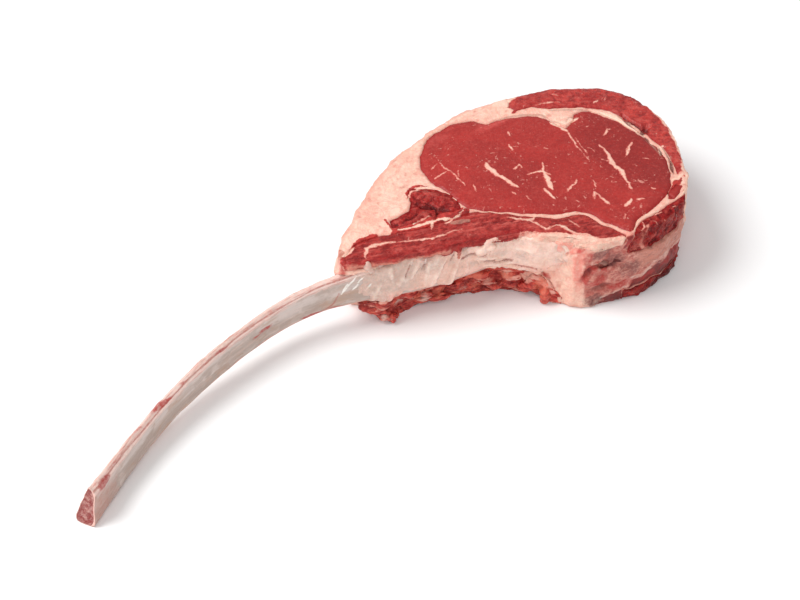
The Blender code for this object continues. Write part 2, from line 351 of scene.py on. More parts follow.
# What is drawn on the cut faces, in plan: the width of each mark and the points that it runs through.
marbling = {
    "streaks": [  # streaks of fat in the eye
        (2.7, [(37, -3.8), (35.8, -9.6), (33.9, -16.1), (31.4, -22.1), (31.5, -27.3), (29.1, -32.7), (28.6, -37.4)]),
        (1.1, [(28.6, -36), (26.8, -40.4), (25.6, -43.5)]),
        (0.6, [(29.2, -14), (32.1, -16.1)]),
        (1.7, [(1.2, 3.7), (-1.3, -1), (-4.4, -6.4)]),
        (3.1, [(-2.4, -3.6), (-4.6, -7.4), (-6.4, -11), (-7.9, -17.2)]),
        (1.6, [(-11, 0.3), (-6.6, -0.3), (-3.1, -1.6), (-1.2, -6.8)]),
        (2.1, [(-11.1, -13), (-12.1, -17.4), (-11.7, -23.9)]),
        (3.2, [(-23.9, 21.8), (-25.5, 13.8), (-24.8, 8.4)]),
        (2.5, [(-25.3, 10.6), (-24.6, 3.4), (-22.4, -5.5)]),
        (1.2, [(7.7, -17.8), (4.8, -20.2), (1.5, -20.9), (-2, -23.4)]),
        (1.2, [(14.5, -22.7), (11.2, -28.6)]),
        (1.3, [(4.6, -35.8), (8.6, -31.7), (8.7, -36.8), (9, -42.7)]),
        (2, [(8.8, -40), (9, -43)]),
        (1.5, [(51.9, -12), (47.2, -15.2), (43.2, -18.2)]),
        (1.2, [(49.2, 4.8), (47, 2.3), (43.5, 1.5)]),
        (0.8, [(48.5, 4), (51.5, 3.2)]),
        (1.9, [(20.8, -46.8), (17.3, -48.7), (14.3, -49)]),
        (1.3, [(23.3, -48.7), (27.1, -52.1)]),
        (0.9, [(10.4, -53.5), (8.3, -56.9)]),
        (1.2, [(35.4, -46.8), (37, -49.2)]),
        (1.3, [(10.1, 12.4), (11.7, 9.9)]),
        (1.1, [(-4.2, 26.1), (-5.2, 21.5)]),
        (1.4, [(2.6, 34.6), (0.4, 30.8)]),
        (1.3, [(-14.9, 8.3), (-9.7, 9.7), (-10.5, 6.4)]),
        (1, [(-27.3, -5.7), (-26.4, -8.9)]),
        (0.8, [(-23.4, -12.9), (-22.9, -17)]),
        (0.7, [(29.6, -1.7), (30.9, -4), (29.6, -7.1)]),
        (0.7, [(47.9, -25.6), (50.7, -27.7)]),
        (3.4, [(26, 27), (28, 22), (28.8, 15)]),
        (2.6, [(29, 25), (33, 23), (41.4, 20.8)]),
        (1.3, [(28.9, 17), (27.4, 9), (25.9, 3)]),
        (0.75, [(26.3, 5.3), (24.3, -2.5), (22.2, -11.5)]),
        (0.5, [(29.6, 8), (27.6, 1), (25.8, -6)]),
        (0.8, [(-43.6, 39.3), (-44.5, 33.7), (-44.8, 27.8), (-44, 22.3), (-44.8, 13.2)]),
        (0.7, [(-50.3, 34.9), (-45.7, 36.5)]),
        (0.7, [(-53.7, 28.1), (-46.2, 28.2)]),
        (0.8, [(-40.2, 25.1), (-42.7, 21.4)]),
        (1, [(-39.9, 11.5), (-42.7, 6.3)]),
        (0.8, [(-45.3, 44.9), (-42.8, 44.9)]),
    ],
    # fine seams outside the eye: in the cap, the lip, the long strip and the dark end
    "seams": [
        (6.6, [(9, 57.4), (16, 57.4), (23, 58.6), (29, 59.4)]),
        (4, [(13.6, 53), (17, 55.6)]),
        (0.9, [(29.5, 44), (33.5, 43.2), (41.7, 38.3)]),
        (0.9, [(42, 45.5), (45.8, 42.1)]),
        (1.4, [(57.1, 26.8), (61.3, 26.6)]),
        (4.6, [(51.9, 22), (56.2, 13.5), (59.6, 6.6), (60.8, -0.8), (61.4, -7.7), (61.4, -12.4)]),
        (2.4, [(65.3, -24.1), (61.5, -24.6), (58.4, -29)]),
        (2.2, [(49.7, -49.1), (53.2, -49.6), (60.1, -46.9)]),
        (0.7, [(18.6, -59.8), (22, -63.7), (27.8, -64.9)]),
        (0.8, [(6.7, -69), (11.8, -68.7), (14.4, -64.5)]),
        (0.6, [(26, -68.2), (25, -71), (33, -70.6), (37, -69.6), (42.1, -66)]),
        (0.6, [(35.7, -65.1), (40.9, -65.8), (44, -64)]),
        (2.2, [(-128.6, 8), (-124, 9.4), (-120.7, 10.4)]),
        (2.6, [(80, 8), (79.5, -7), (75, -22), (69, -34), (61.2, -45.1), (57.2, -52.5), (50.1, -58.7), (44, -60)]),
        (1.6, [(-76.8, 22.2), (-73.4, 25.7), (-69.3, 26.8), (-64.6, 25.6), (-59.7, 21.1)]),
        (1, [(-84.5, 6.2), (-78.9, 6.4), (-73.6, 5.8)]),
        (1, [(-55.5, 1.9), (-57.2, -1.5), (-60.5, -1.4)]),
        (1.9, [(-120.3, -0.8), (-118.4, 2.9), (-115.9, 5.1), (-111.5, 4.7), (-106.3, 3.2), (-99.7, -0.5)]),
        (1.3, [(-101, 0), (-91.9, -5), (-82.6, -9.5), (-75.6, -10.7), (-67, -12)]),
        (1.7, [(-94, 7.3), (-85.1, 4.3), (-78.6, 2.4), (-75.9, 1.6), (-71.7, 0.9), (-65.9, -2.2), (-59.5, -2.2)]),
        (1.2, [(-75.9, 1.6), (-79.3, -2.9)]),
        (1.4, [(-71.3, -2.9), (-67, -3.7), (-64.3, -2.2)]),
        (1.5, [(-42, -19.6), (-36.9, -24.4), (-33.4, -27.9), (-31.7, -32.2), (-31.2, -38), (-29.4, -39.9)]),
        (1.7, [(-29.8, -39), (-22.8, -40.5), (-22, -44.7), (-19.5, -50.1), (-15, -55.2), (-12.5, -59.4)]),
        (2.2, [(-33.4, -27.9), (-30.6, -27.6), (-27.6, -27)]),
        (1, [(-16.2, -39.9), (-16.3, -45.2), (-14.8, -48.7)]),
        (0.5, [(19, -67.2), (19.8, -70.3), (13, -74)]),
        (0.5, [(34, -64.6), (38.3, -65.9), (41.8, -64)]),
        (0.8, [(17.1, -62.2), (20.2, -60.8), (24, -61.7), (29.5, -62.6)]),
    ],
    "lean": [  # where lean runs on over the fat
        (10, [(-97, 6.4), (-90, 6), (-82, 4.2), (-76, 3.6), (-70, 2), (-62, -0.4), (-56, -2.4)]),
        (1.5, [(-94.7, 17.6), (-95.5, 12.8), (-96.6, 8)]),
        (1.8, [(-94.6, 17.9), (-94.9, 16.4)]),
        (3.4, [(-96, 8), (-90, 11), (-84, 13), (-78, 14)]),
        (1.5, [(-76.4, 23.4), (-73.4, 27.6), (-69.3, 29.6), (-65, 28.2), (-60.4, 24.4)]),
        (7.5, [(-106, 9.8), (-113, 10), (-120.5, 8), (-127.5, 5), (-133.4, 1.6)]),
        (3.6, [(0.4, -68.4), (1.8, -70.4), (3.4, -73)]),
        (3.4, [(54.8, -50.6), (49, -52), (42.4, -54.6)]),
        (2.2, [(57, -50), (62, -44.6), (66, -38)]),
        (2.4, [(49.6, -58.4), (44, -61.6), (38, -63), (31, -62.6)]),
        (1.6, [(12.8, 53), (16, 52), (21, 50.4)]),
        (2, [(13.8, 46.8), (17, 47.2), (20, 47.6)]),
        (1, [(15.4, 50.6), (20, 50.8)]),
    ],
    "tanned": [(5, [(-127, 13.4), (-129.6, 8.4), (-131, 4.4)])],  # where the cut fat has dried
    "folds": [  # lobes and grooves in the small muscles: height, half width, points
        (-1.5, 1.1, [(-74.8, 20.6), (-72.8, 14.8), (-68.2, 9.8), (-64.4, 3.8), (-59.4, -0.7)]),
        (-1.3, 1, [(-72.8, 14.8), (-77, 12.1), (-82, 10.7), (-88.4, 11.4)]),
        (-1.3, 1, [(-66.9, 7.9), (-70.3, 4.2), (-74.5, 2.3)]),
        (1, 2.6, [(-71.9, 23.7), (-66.4, 21.6), (-61, 15.7), (-58.1, 8.5)]),
        (0.9, 1.6, [(-74.7, 10.4), (-74.9, 4.6)]),
        (0.8, 1.6, [(-89.8, 8.5), (-83.5, 7.9), (-78, 7.8)]),
        (0.7, 2.4, [(-113.5, 0.7), (-101.2, -4.6), (-86.3, -10.8), (-72.5, -14.2), (-58.2, -17.1)]),
        (-0.7, 0.9, [(-112, 2.6), (-104, -2), (-92, -7.2), (-80, -11.8), (-70, -12.8)]),
        (0.6, 1.6, [(-108, 8.6), (-98, 5.4), (-88, 1.6), (-78, -3)]),
        (-0.6, 0.9, [(-106, 5.2), (-96, 1.6), (-86, -2.6), (-76, -6.2), (-64, -10)]),
        (0.6, 2.2, [(-52, -20), (-40, -28), (-30, -37), (-22, -48)]),
        (-0.6, 0.9, [(-54, -14), (-46, -19), (-40, -25)]),
        (-0.7, 1, [(36, -50), (40, -56), (38, -62)]),
        (-0.6, 0.9, [(28, -59), (33, -64), (28, -70)]),
    ],
    "silver": [  # grey skin between muscles
        (1.2, [(61.7, -11), (60.4, -16.8), (59.1, -22.5), (58.2, -29.8)]),
        (1.4, [(63.4, -24), (61.4, -33.5), (58, -38.8), (54.4, -45.3)]),
        (1, [(5.4, 46.6), (14.5, 44.2), (22.8, 39.4), (27, 35.4), (28, 28.5), (32, 22.4)]),
        (0.9, [(34, 22.4), (38, 24.6), (41.5, 21.5)]),
        (3, [(-68.2, -5.2), (-63.5, -7.4), (-59, -9.6)]),
        (1.3, [(33, 35.8), (39.5, 31.4), (45.8, 27.6), (52, 21.5)]),
    ],
    "blood": [  # red threads in the fat
        (2.2, [(-131, 3), (-128, 1.4)]),
    ],
    "clefts": [  # openings, carved in and darkened with painted shade: width, depth, points
        (2.2, 2.6, [(64.4, 8.4), (64.3, 3.5), (64.3, -1.9), (65.3, -8.2)]),
        (4, 5, [(62, -9), (65.4, -8.2), (68.6, -7.4)]),
        (1.8, 2.4, [(62.2, 9), (62.4, 1), (62.6, -7)]),
        (1.5, 1.6, [(61.8, -23.3), (60.2, -27.2), (58.9, -29.6)]),
        (1.6, 1.6, [(59.5, -35.1), (56.8, -41), (53.6, -45.6)]),
        (1.3, 1.2, [(61.6, -12.2), (61.2, -17.2)]),
        (1.4, 1.4, [(-71.5, 18.3), (-68.5, 13.8), (-68.7, 6.9), (-73.7, 2.4)]),
        (1, 0.8, [(-93, 12.6), (-91.4, 10.4)]),
        (1, 0.7, [(61.9, -28), (60, -36), (56.6, -43)]),
    ],
}


# On the lower cut face the same lines come out a little elsewhere.
def facePlaces(places):
    low = 1 - fade(places[:, 2], 12, 40)
    return places[:, :2] + low[:, None] * (2.6 * softDrift(places * (1, 1, 0), 24, 41, 42) + (0.8, -0.6))


def levelled(flat):
    return np.column_stack([flat, np.zeros(len(flat))])


# How far each point of a cut face is from that face's edge, up to furthest.
def borderDistance(places, facing, furthest=9.0, level=3, wallTilt=0.12, edgeTilt=0.72):
    distance = np.full(len(places), furthest)
    for side in (1, -1):
        near = places[:, 2] > thickness - level if side > 0 else places[:, 2] < level
        tilt = facing[:, 2] * side
        edge = np.flatnonzero(near & (tilt > wallTilt) & (tilt < edgeTilt))
        face = np.flatnonzero(near & (tilt > wallTilt))
        if len(edge) == 0:
            continue
        tree = pointTree(levelled(places[edge, :2]))
        for vertex in face:
            distance[vertex] = min(tree.find((*places[vertex, :2], 0))[2], furthest)
    return distance


# Which points lie within reach of a neighbour, where nobody sees them.
def againstNeighbour(places, node, reach=0.9):
    bm = bmesh.new()
    for other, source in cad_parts.items():
        if other != node:
            bm.from_mesh(source.data)
    tree = BVHTree.FromBMesh(bm)
    bm.free()
    return np.array([tree.find_nearest(Vector(place * mm), reach * mm)[0] is not None for place in places])


# A depth inside a mark where share is 1, and far outside it where share is 0.
def limited(depth, share, outside=3):
    return depth * share - outside * (1 - share)


# How deep each place lies inside what is drawn on the cut faces.
def drawnDepths(look, places, flat):
    tears = sum(
        amount * softDrift(levelled(flat), size, *seeds) for amount, size, seeds in sliceLook["raggedMarks"]
    )
    ragged = flat + sliceLook["raggedReach"] * tears
    amount, size, seed = sliceLook["streakWobble"]
    streak = strokeDepth(ragged, marbling["streaks"] + marbling["seams"])
    streak += amount * softNoise(levelled(flat), size, seed)
    full, (end, endBelow) = sliceLook["drawnFull"], sliceLook["drawnEnd"]
    onFace = np.maximum(fade(places[:, 2], thickness - end, thickness - full), fade(places[:, 2], endBelow, full))
    depths = {
        "fat": limited(streak, onFace),
        "lean": limited(strokeDepth(ragged, marbling["lean"]), onFace),
        "silver": strokeDepth(flat, marbling["silver"]),
        "blood": strokeDepth(flat, marbling["blood"]),
    }
    if "rim" in look:
        rimX, rimY = np.array(look["rim"]).T
        depths["rim"] = sliceLook["rimSlope"] * (np.interp(ragged[:, 0], rimX, rimY) - ragged[:, 1])
        depths["fat"] = np.maximum(depths["fat"], depths["rim"])
    return depths


# How far the upper cut face rises, with how deep its clefts and how high its folds are.
def cutRelief(look, places, flat, depths, border, grain):
    rise = look["swell"] * (1 - np.exp(-((border / look["swellWidth"]) ** 1.3))) - look["dip"]
    lumps = softNoise(places * (1, 1, 0), look["lumpSize"], look["seed"] + 5)
    rise += look["grain"] * grain + look["lump"] * lumps
    streaks = sliceLook["streakRise"] * fade(depths["fat"], *sliceLook["streakEdge"])
    rise += streaks - sliceLook["silverDip"] * fade(depths["silver"], *sliceLook["silverEdge"])
    if look["node"] == "fat":
        leanRise = sliceLook["leanRise"] * fade(depths["lean"], *sliceLook["leanEdge"])
        rise += leanRise * (1 - fade(depths["fat"], -0.7, 0.2))
    if "rim" in look:
        rise -= sliceLook["rimFall"] * fade(depths["rim"], *sliceLook["rimEdge"])
    cleft = np.zeros(len(places))
    for width, depth, line in marbling["clefts"]:
        distance, along = lineDistance(flat, smoothLine(line, 2))
        hollow = np.exp(-((distance / (width / 2)) ** 2)) * (0.4 + 0.6 * np.sin(math.pi * np.clip(along, 0.05, 0.95)))
        rise -= depth * hollow
        cleft = np.maximum(cleft, hollow)
    folded = sum(height * softBand(flat, line, half, step=2, taper=0.06) for height, half, line in marbling["folds"])
    if look["node"] == "fat":
        folded *= fade(depths["lean"], -1, 0.5)
    return rise + folded, cleft, folded


# How far the walls bulge, with how thick the film of fat on them is.
def wallRelief(look, places, facing, leanBelow, outside, upper):
    bulge = look["wallLump"] * layeredNoise(places, look["wallLumpSize"], 4, look["seed"] + 40) * outside
    film = None
    if "film" in look:
        tears = layeredNoise(places, look["filmSize"], 4, look["seed"] + 60)
        film = spotMask(places, look["film"]) + sliceLook["filmTear"] * tears
        if "filmBorder" in look:
            film = np.maximum(film, look["filmBorder"] - 0.16 * leanBelow)
        bulge += sliceLook["filmRise"] * fade(film, *sliceLook["filmEdge"]) * outside
    if look["node"] == "fat":
        bulge -= sliceLook["filmRise"] * fade(leanBelow, *sliceLook["wallBorderEdge"]) * outside
    for height, half, line in look["wallForms"]:
        bulge += height * softBand(places, line, half, facing, 2, 0.08, 0.5) * (1 - upper)
    return bulge, film


# Shapes one solid of the slice: walls that follow the flesh, cut faces that swell between their seams.
def shapeSlicePiece(look):
    piece = denseCopy(look["name"], look["node"], look["grid"], look["lumps"], look["ease"])
    mesh = piece.data
    places, facing = readMesh(mesh)
    border = borderDistance(places, facing)
    touching = againstNeighbour(places, look["node"])
    upper = fade(facing[:, 2], *sliceLook["faceTilt"]) * (places[:, 2] > thickness - sliceLook["faceDepth"])
    lower = fade(-facing[:, 2], *sliceLook["faceTilt"]) * (places[:, 2] < sliceLook["faceDepth"])
    cut = np.maximum(upper, lower)
    wall = 1 - cut
    outside = wall * ~touching
    flat = facePlaces(places)
    depths = drawnDepths(look, places, flat)
    grain = layeredNoise(places, look["grainSize"], 3, look["seed"])
    rise, cleft, folded = cutRelief(look, places, flat, depths, border, grain)
    leanBelow = leanOutside(places)
    bulge, film = wallRelief(look, places, facing, leanBelow, outside, upper)

    fill = np.where(touching, sliceLook["fillOverlap"], sliceLook["fillHeight"]) * spotMask(places, sliceLook["fills"])
    moved = places + sharedWobble(places)
    moved += facing * (1, 1, 0) * ((bulge + sliceLook["closeGap"] * touching) * wall)[:, None]
    moved += facing * (fill * wall)[:, None]
    moved[:, 2] += upper * (rise + sharedWave(places)) + facing[:, 2] * (bulge * outside)
    moved[:, 2] += lower * np.maximum(0.25 - 0.5 * rise, 0)
    moved[:, 2] = np.maximum(moved[:, 2], sliceLook["floorGap"])
    writeMesh(mesh, moved)

    keepMask(mesh, "fat", depths["fat"])
    keepMask(mesh, "silver", fade(depths["silver"], -0.5, 0.25) * cut)
    leanTears = 0.2 * layeredNoise(places, 4, 3, look["seed"] + 61)
    leanWall = np.maximum(4 * (spotMask(places, look["leanSpots"]) + leanTears - 0.5), 0.5 * leanBelow)
    around = (1 - upper) * (1 - fade(-facing[:, 2], 0.75, 0.95)) * ~touching
    keepMask(mesh, "lean", np.maximum(depths["lean"], limited(leanWall, around)))
    keepMask(mesh, "tanned", fade(strokeDepth(flat, marbling["tanned"]), -0.6, 1.4) * fade(places[:, 2], 18, 34))
    keepMask(mesh, "border", border)
    keepMask(mesh, "red", np.maximum(fade(depths["blood"], -0.4, 0.2) * cut, spotMask(places, look["redSpots"])))
    # Painted shade: dark in the clefts and at the dark spots.
    keepMask(mesh, "dark", np.maximum(fade(cleft, 0.3, 0.8), spotMask(places, look["shadeSpots"])))
    # How low each place lies: the finishes lay painted shade in the low places, and on lean a painted highlight on the
    # high ones.
    keepMask(mesh, "hollow", -grain * upper - bulge / 1.1 - 1.1 * folded * cut)
    pale = spotMask(places, look["paleSpots"])
    for half, line in look["paleRims"]:
        pale = np.maximum(pale, 1.2 * softBand(places, line, half, step=2))
    if look["node"] == "fat":
        pale = np.maximum(pale, 0.5 * np.exp(-(((leanBelow + 2) / 2) ** 2)) * outside)
        nearCap = np.where(places[:, 1] < 0, fade(places[:, 0] + 3 * softNoise(places, 6, 72), 30, 54), 1)
        keepMask(mesh, "nearCap", nearCap)
        keepMask(mesh, "brown", fade(leanBelow, -2, 3) * (1 - nearCap) * outside)
    keepMask(mesh, "pale", pale)
    for name, spots in look["tints"].items():
        keepMask(mesh, name, spotMask(places, spots))
    if "film" in look:
        keepMask(mesh, "film", limited(film - 0.5, outside, 2))
    if look["thin"] < 1:
        thinHidden(piece, touching & (np.abs(places[:, 2] - thickness / 2) < thickness / 2 - 2.5), look["thin"])
    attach(piece, "root")
    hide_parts(look["node"])
    report(piece)
    return piece


# What each solid of the slice has, unless its own values below say otherwise.
plainLook = {
    "seed": 0,  # where its random values start
    "grid": 0.45,  # mm between points
    "thin": 1,  # share of the mesh that stays when its hidden sides are thinned out
    "ease": 2,  # rounds of easing at the corners
    "swell": 0.3, "swellWidth": 1,  # how far the cut face stands up between its seams, and how wide that rounding is
    "dip": 0.2,  # how far the seams sink
    "grain": 0.15, "grainSize": 1.6,  # fine relief of the cut face
    "lump": 0, "lumpSize": 9,  # slow lumps in it
    "wallLump": 0, "wallLumpSize": 8,  # lumps in the outer wall
    "lumps": (),  # lumps of flesh that stand out from the solid: place, size, turn
    "wallForms": (),  # folds and grooves of the wall: height, half width, points
    # stains, and for the dark spots painted shade: strength, place, size
    "leanSpots": (), "redSpots": (), "shadeSpots": (), "paleSpots": (), "tints": {},
    "paleRims": (),  # pale edges: half width, points
}
eyeLook = {
    "name": "eyeMuscle", "node": "eye_muscle", "slot": "lean", "seed": 100, "grid": 0.55, "thin": 0.52,
    "swell": 0.75, "swellWidth": 1.6, "dip": 0.35, "grain": 0.05,
    "tints": {
        "dull": [
            (1.2, (50, -16, 50), (34, 46, 60)), (0.5, (-16, 6, 50), (24, 22, 60)), (1, (46, -14, 0), (34, 44, 20)),
        ],
        "bloom": [(1, (2, 46, 50), (17, 5, 9)), (0.4, (-34, 52, 50), (12, 5, 9))],
    },
}
capLook = {
    "name": "capMuscle", "node": "cap_muscle", "slot": "lean", "seed": 200, "grid": 0.6, "thin": 0.7,
    "swell": 0.6, "swellWidth": 1.6, "dip": 0.25, "grain": 0.2, "grainSize": 2.4, "lump": 0.3, "lumpSize": 7,
    "wallLump": 0.8, "wallLumpSize": 9,
    # painted shade low on the wall, near the floor
    "shadeSpots": [(0.7, (74, -26, 6), (8, 16, 9)), (0.4, (70, 30, 5), (14, 10, 7))],
    "filmSize": (16, 16, 9),
    "filmBorder": 0.5,  # the film also covers what is above the border of lean and fat
    "film": [  # thin fat that was left on the outside
        (0.45, (38, 54, 8), (26, 14, 12)),
        (0.4, (60, 40, 30), (14, 14, 8)),
        (0.4, (80, 2, 32), (12, 22, 8)),
        (0.6, (78, -18, 40), (10, 14, 8)),
        (0.7, (64, -44, 24), (14, 14, 34)),
    ],
}
stripLook = {
    "name": "ribStrip", "node": "rib_strip", "slot": "lean", "seed": 300, "grid": 0.55, "thin": 0.75,
    "swell": 0.6, "swellWidth": 1.4, "dip": 0.3, "grain": 0.22, "grainSize": (3.2, 1.8, 2), "lump": 0.3,
    "lumpSize": 6, "wallLump": 0.8, "wallLumpSize": (8, 6, 4), "ease": 5,
    "paleSpots": [
        (1, (-128.5, -0.5, 47), (4.5, 4, 4)), (0.8, (-74.4, -21.4, 41), (3, 3, 5)), (0.5, (-60, -23, 43), (10, 4, 3)),
    ],
    "paleRims": [
        (1.5, [(-130, 1, 48), (-126, -1.6, 47.4), (-119.5, -4.2, 46.8), (-114.8, -6, 45.4), (-104.9, -10, 45.4),
               (-89.9, -15.8, 46), (-80, -18.6, 46)]),
    ],
    "rim": [  # beyond this line, in plan, the piece's edge is fat
        (-62, -27), (-52, -29), (-44, -31.4), (-39.8, -34), (-32, -40.2), (-28.6, -43.3), (-24.4, -46.4),
        (-20.3, -50.6), (-13.7, -57), (-12.5, -59.4), (-6.2, -63.6), (-1, -66.5), (4, -70),
    ],
    "lumps": [  # the ragged lip that hangs over the bone and the fat
        ((-79, -17.2, 46), (7, 2, 3), -18),
        ((-74.2, -20.4, 43), (1.7, 1.8, 5.4), -18),
        ((-63, -21.2, 46), (8, 2.4, 3), -20),
    ],
}
lipLook = {
    "name": "lipMuscle", "node": "lip_muscle", "slot": "dark_lean", "seed": 400, "grid": 0.5, "thin": 0.8,
    "swell": 0.5, "swellWidth": 1.2, "dip": 0.75, "grain": 0.35, "grainSize": 2.6, "lump": 0.5, "lumpSize": 5,
}
smallLook = {"name": "smallMuscle", "node": "small_muscle", "slot": "lean", "seed": 500}
chineLook = {
    "name": "chineMuscle", "node": "chine_muscle", "slot": "dark_lean", "seed": 600,
    "swell": 0.4, "swellWidth": 1.2, "dip": 0.3, "grain": 0.3, "grainSize": 2.2, "lump": 0.4, "lumpSize": 4,
    "wallLump": 1.2, "wallLumpSize": 5,
    # painted shade along the bottom of the wall
    "shadeSpots": [(0.8, (30, -67, 3), (24, 8, 6))],
    "filmSize": (7, 7, 6),
    "film": [(1.5, (51, -57, 40), (5.4, 6, 14)), (1.1, (46, -60, 33), (8, 6, 3.4))],
    "paleRims": [
        (0.9, [(14, -68.6, 50), (10, -69.4, 42), (14, -71, 36), (24, -71.6, 36), (36, -69, 38), (48, -62, 42),
               (53, -56, 45)]),
    ],
}
fatLook = {
    "name": "fatBody", "node": "fat", "slot": "fat", "seed": 700, "grid": 0.72, "thin": 0.45,
    "swell": 0.12, "swellWidth": 0.8, "dip": 0.1, "grain": 0.05, "grainSize": 2.5, "lump": 0.22, "lumpSize": 12,
    "wallLump": 1.1, "wallLumpSize": (15, 15, 8),
    "wallForms": [
        (-1.5, 1, [(-50, -28.4, 28.4), (-44, -32, 26.6), (-38, -37, 23.6), (-33.6, -41.6, 20), (-30.4, -45.6, 14)]),
        (-1.6, 1.1, [(-31, -45, 15.4), (-28.7, -47.6, 9.1), (-26.5, -50.4, 2)]),
        (-3, 1.4, [(0.6, -69, 31.6), (-4, -68.2, 28.4), (-10, -66, 29.6), (-13.2, -64.7, 26.4), (-16, -62.4, 19)]),
        (-2.2, 1.3, [(-6, -67.4, 32.6), (-8.6, -66.8, 31.4)]),
        (-0.8, 1.2, [(-36, -38.5, 32), (-28, -46.6, 33), (-22, -53.5, 29)]),
        (-1.2, 1.2, [(-12, -65, 12), (-4, -68.4, 15), (6, -70, 14)]),
        (-1, 1, [(-13, -64.6, 6), (-6, -67.6, 8.4), (2, -69.4, 7)]),
        (-1.2, 1.2, [(2, -69, 38), (0, -69, 30), (6, -70, 24)]),
        (0.9, 1.7, [(-17.6, -60, 46), (-18, -59.6, 36), (-18.2, -59.4, 24), (-18.4, -59.2, 12), (-18.4, -59.2, 2)]),
        (-1.3, 3.6, [(-5, -67.6, 44), (-4, -68, 36), (-5.6, -67.6, 24), (-7, -67, 12)]),
        (1, 3, [(-34, -41, 40), (-27, -48, 41), (-20, -56, 38)]),
        (0.9, 2.6, [(-27, -48.6, 24), (-23, -53, 20), (-20.6, -56, 10)]),
        (1.6, 5, [(12, -70.6, 33), (22, -70.4, 33), (34, -68, 32)]),
        (-1.1, 1.2, [(-126, 18, 34), (-108, 30, 31), (-88, 42, 33), (-70, 51, 30)]),
        (-0.9, 1, [(-96, 38, 16), (-76, 48, 14), (-54, 57, 17), (-30, 62, 13)]),
        (-1, 1.2, [(-48, 59, 40), (-34, 62, 34), (-22, 63, 22), (-16, 63, 8)]),
        (0.9, 3.4, [(-118, 24, 22), (-98, 37, 24), (-80, 46, 22)]),
        (0.8, 4, [(-60, 55, 26), (-40, 61, 28), (-20, 63, 32)]),
    ],
    "redSpots": [
        (1.3, (-22.3, -53.4, 39.4), (1.5, 3, 1.1)),
        (0.8, (-18.2, -58.8, 43), (3, 3, 2.4)),
        (0.85, (-14, -63.2, 38), (3, 3, 7)),
        (0.85, (-12, -64.6, 28), (5, 4, 5)),
        (0.75, (-14.4, -63, 20), (3, 3.4, 7)),
        (0.8, (-40, -35.4, 26), (8, 5, 1.8)),
        (0.8, (-32, -43.6, 18.6), (3, 4, 3)),
        (0.8, (-28.6, -47.8, 9), (2, 3, 6)),
        (0.8, (-8, -67, 19), (7, 4, 5)),
        (0.8, (4, -69.6, 13), (10, 4, 4)),
        (0.7, (18, -70, 12), (9, 4, 4)),
        (0.7, (-6, -68.6, 26), (3, 4, 3)),
        (0.6, (32, -69, 16), (8, 4, 5)),
        (0.8, (-132, 5, 44), (3, 4, 6)),
    ],
    # painted shade in the wall's holes and slits, and along its bottom near the floor
    "shadeSpots": [
        (2, (0.4, -69, 31.4), (2.3, 4, 1.8)),
        (1.4, (-3, -68.4, 28.6), (2.8, 3, 1.1)),
        (0.7, (-12.8, -64.6, 26.4), (1.2, 3, 2)),
        (0.9, (16, -70, 2.6), (26, 6, 4.4)),
        (0.9, (38, -66, 5.4), (16, 8, 7)),
        (0.7, (52, -58, 8), (12, 10, 8)),
        (0.6, (-8, -67, 3), (8, 5, 4)),
    ],
    "leanSpots": [(1.2, (2.8, -70, 46), (2.8, 4, 8))],
    "paleSpots": [
        (0.7, (-28, -47, 34), (10, 8, 9)),
        (0.8, (-62, -23, 34), (9, 5, 10)),
        (0.6, (-52, -26, 28), (9, 5, 6)),
        (0.6, (-36, -39, 30), (10, 7, 6)),
        (0.7, (24, -70, 38), (8, 4, 4)),
    ],
    "tints": {
        "bloom": [
            (1.1, (-28.4, -46.9, 39.3), (4.6, 4, 2.8)),
            (1.1, (-20, -56.6, 41.6), (4, 5, 4)),
            (0.8, (-26, -49, 43), (12, 12, 4)),
            (1, (-16.8, -60.8, 30), (3.6, 4, 20)),
            (0.6, (0, -67.6, 49), (8, 5, 4)),
            (0.3, (-50, -29, 43), (16, 10, 4)),
            (0.45, (-60, 40, 24), (30, 30, 14)),
            (0.5, (-120, 8, 26), (20, 16, 20)),
        ],
        "rawWall": [
            (1.2, (-1, -68.6, 24), (14.5, 7, 34)),
            (1.3, (-10, -65.8, 24), (8.4, 5, 24)),
            (1, (16, -70, 22), (22, 7, 26)),
            (0.95, (40, -66, 22), (20, 10, 26)),
            (0.8, (60, -52, 16), (14, 14, 20)),
        ],
        "mauve": [
            (1, (-9, -66.4, 42), (7, 5, 8)),
            (0.75, (-1, -69, 33), (7, 4, 7)),
            (0.7, (7, -70, 24), (8, 4, 7)),
            (0.9, (-9, -66.4, 5), (8, 5, 5)),
            (0.6, (28, -70, 14), (10, 4, 5)),
        ],
        "tan": [(1.3, (17, -70, 29), (9, 5, 10)), (1.2, (29, -69, 30), (10, 6, 10)), (1, (42, -65, 28), (10, 6, 10))],
    },
}


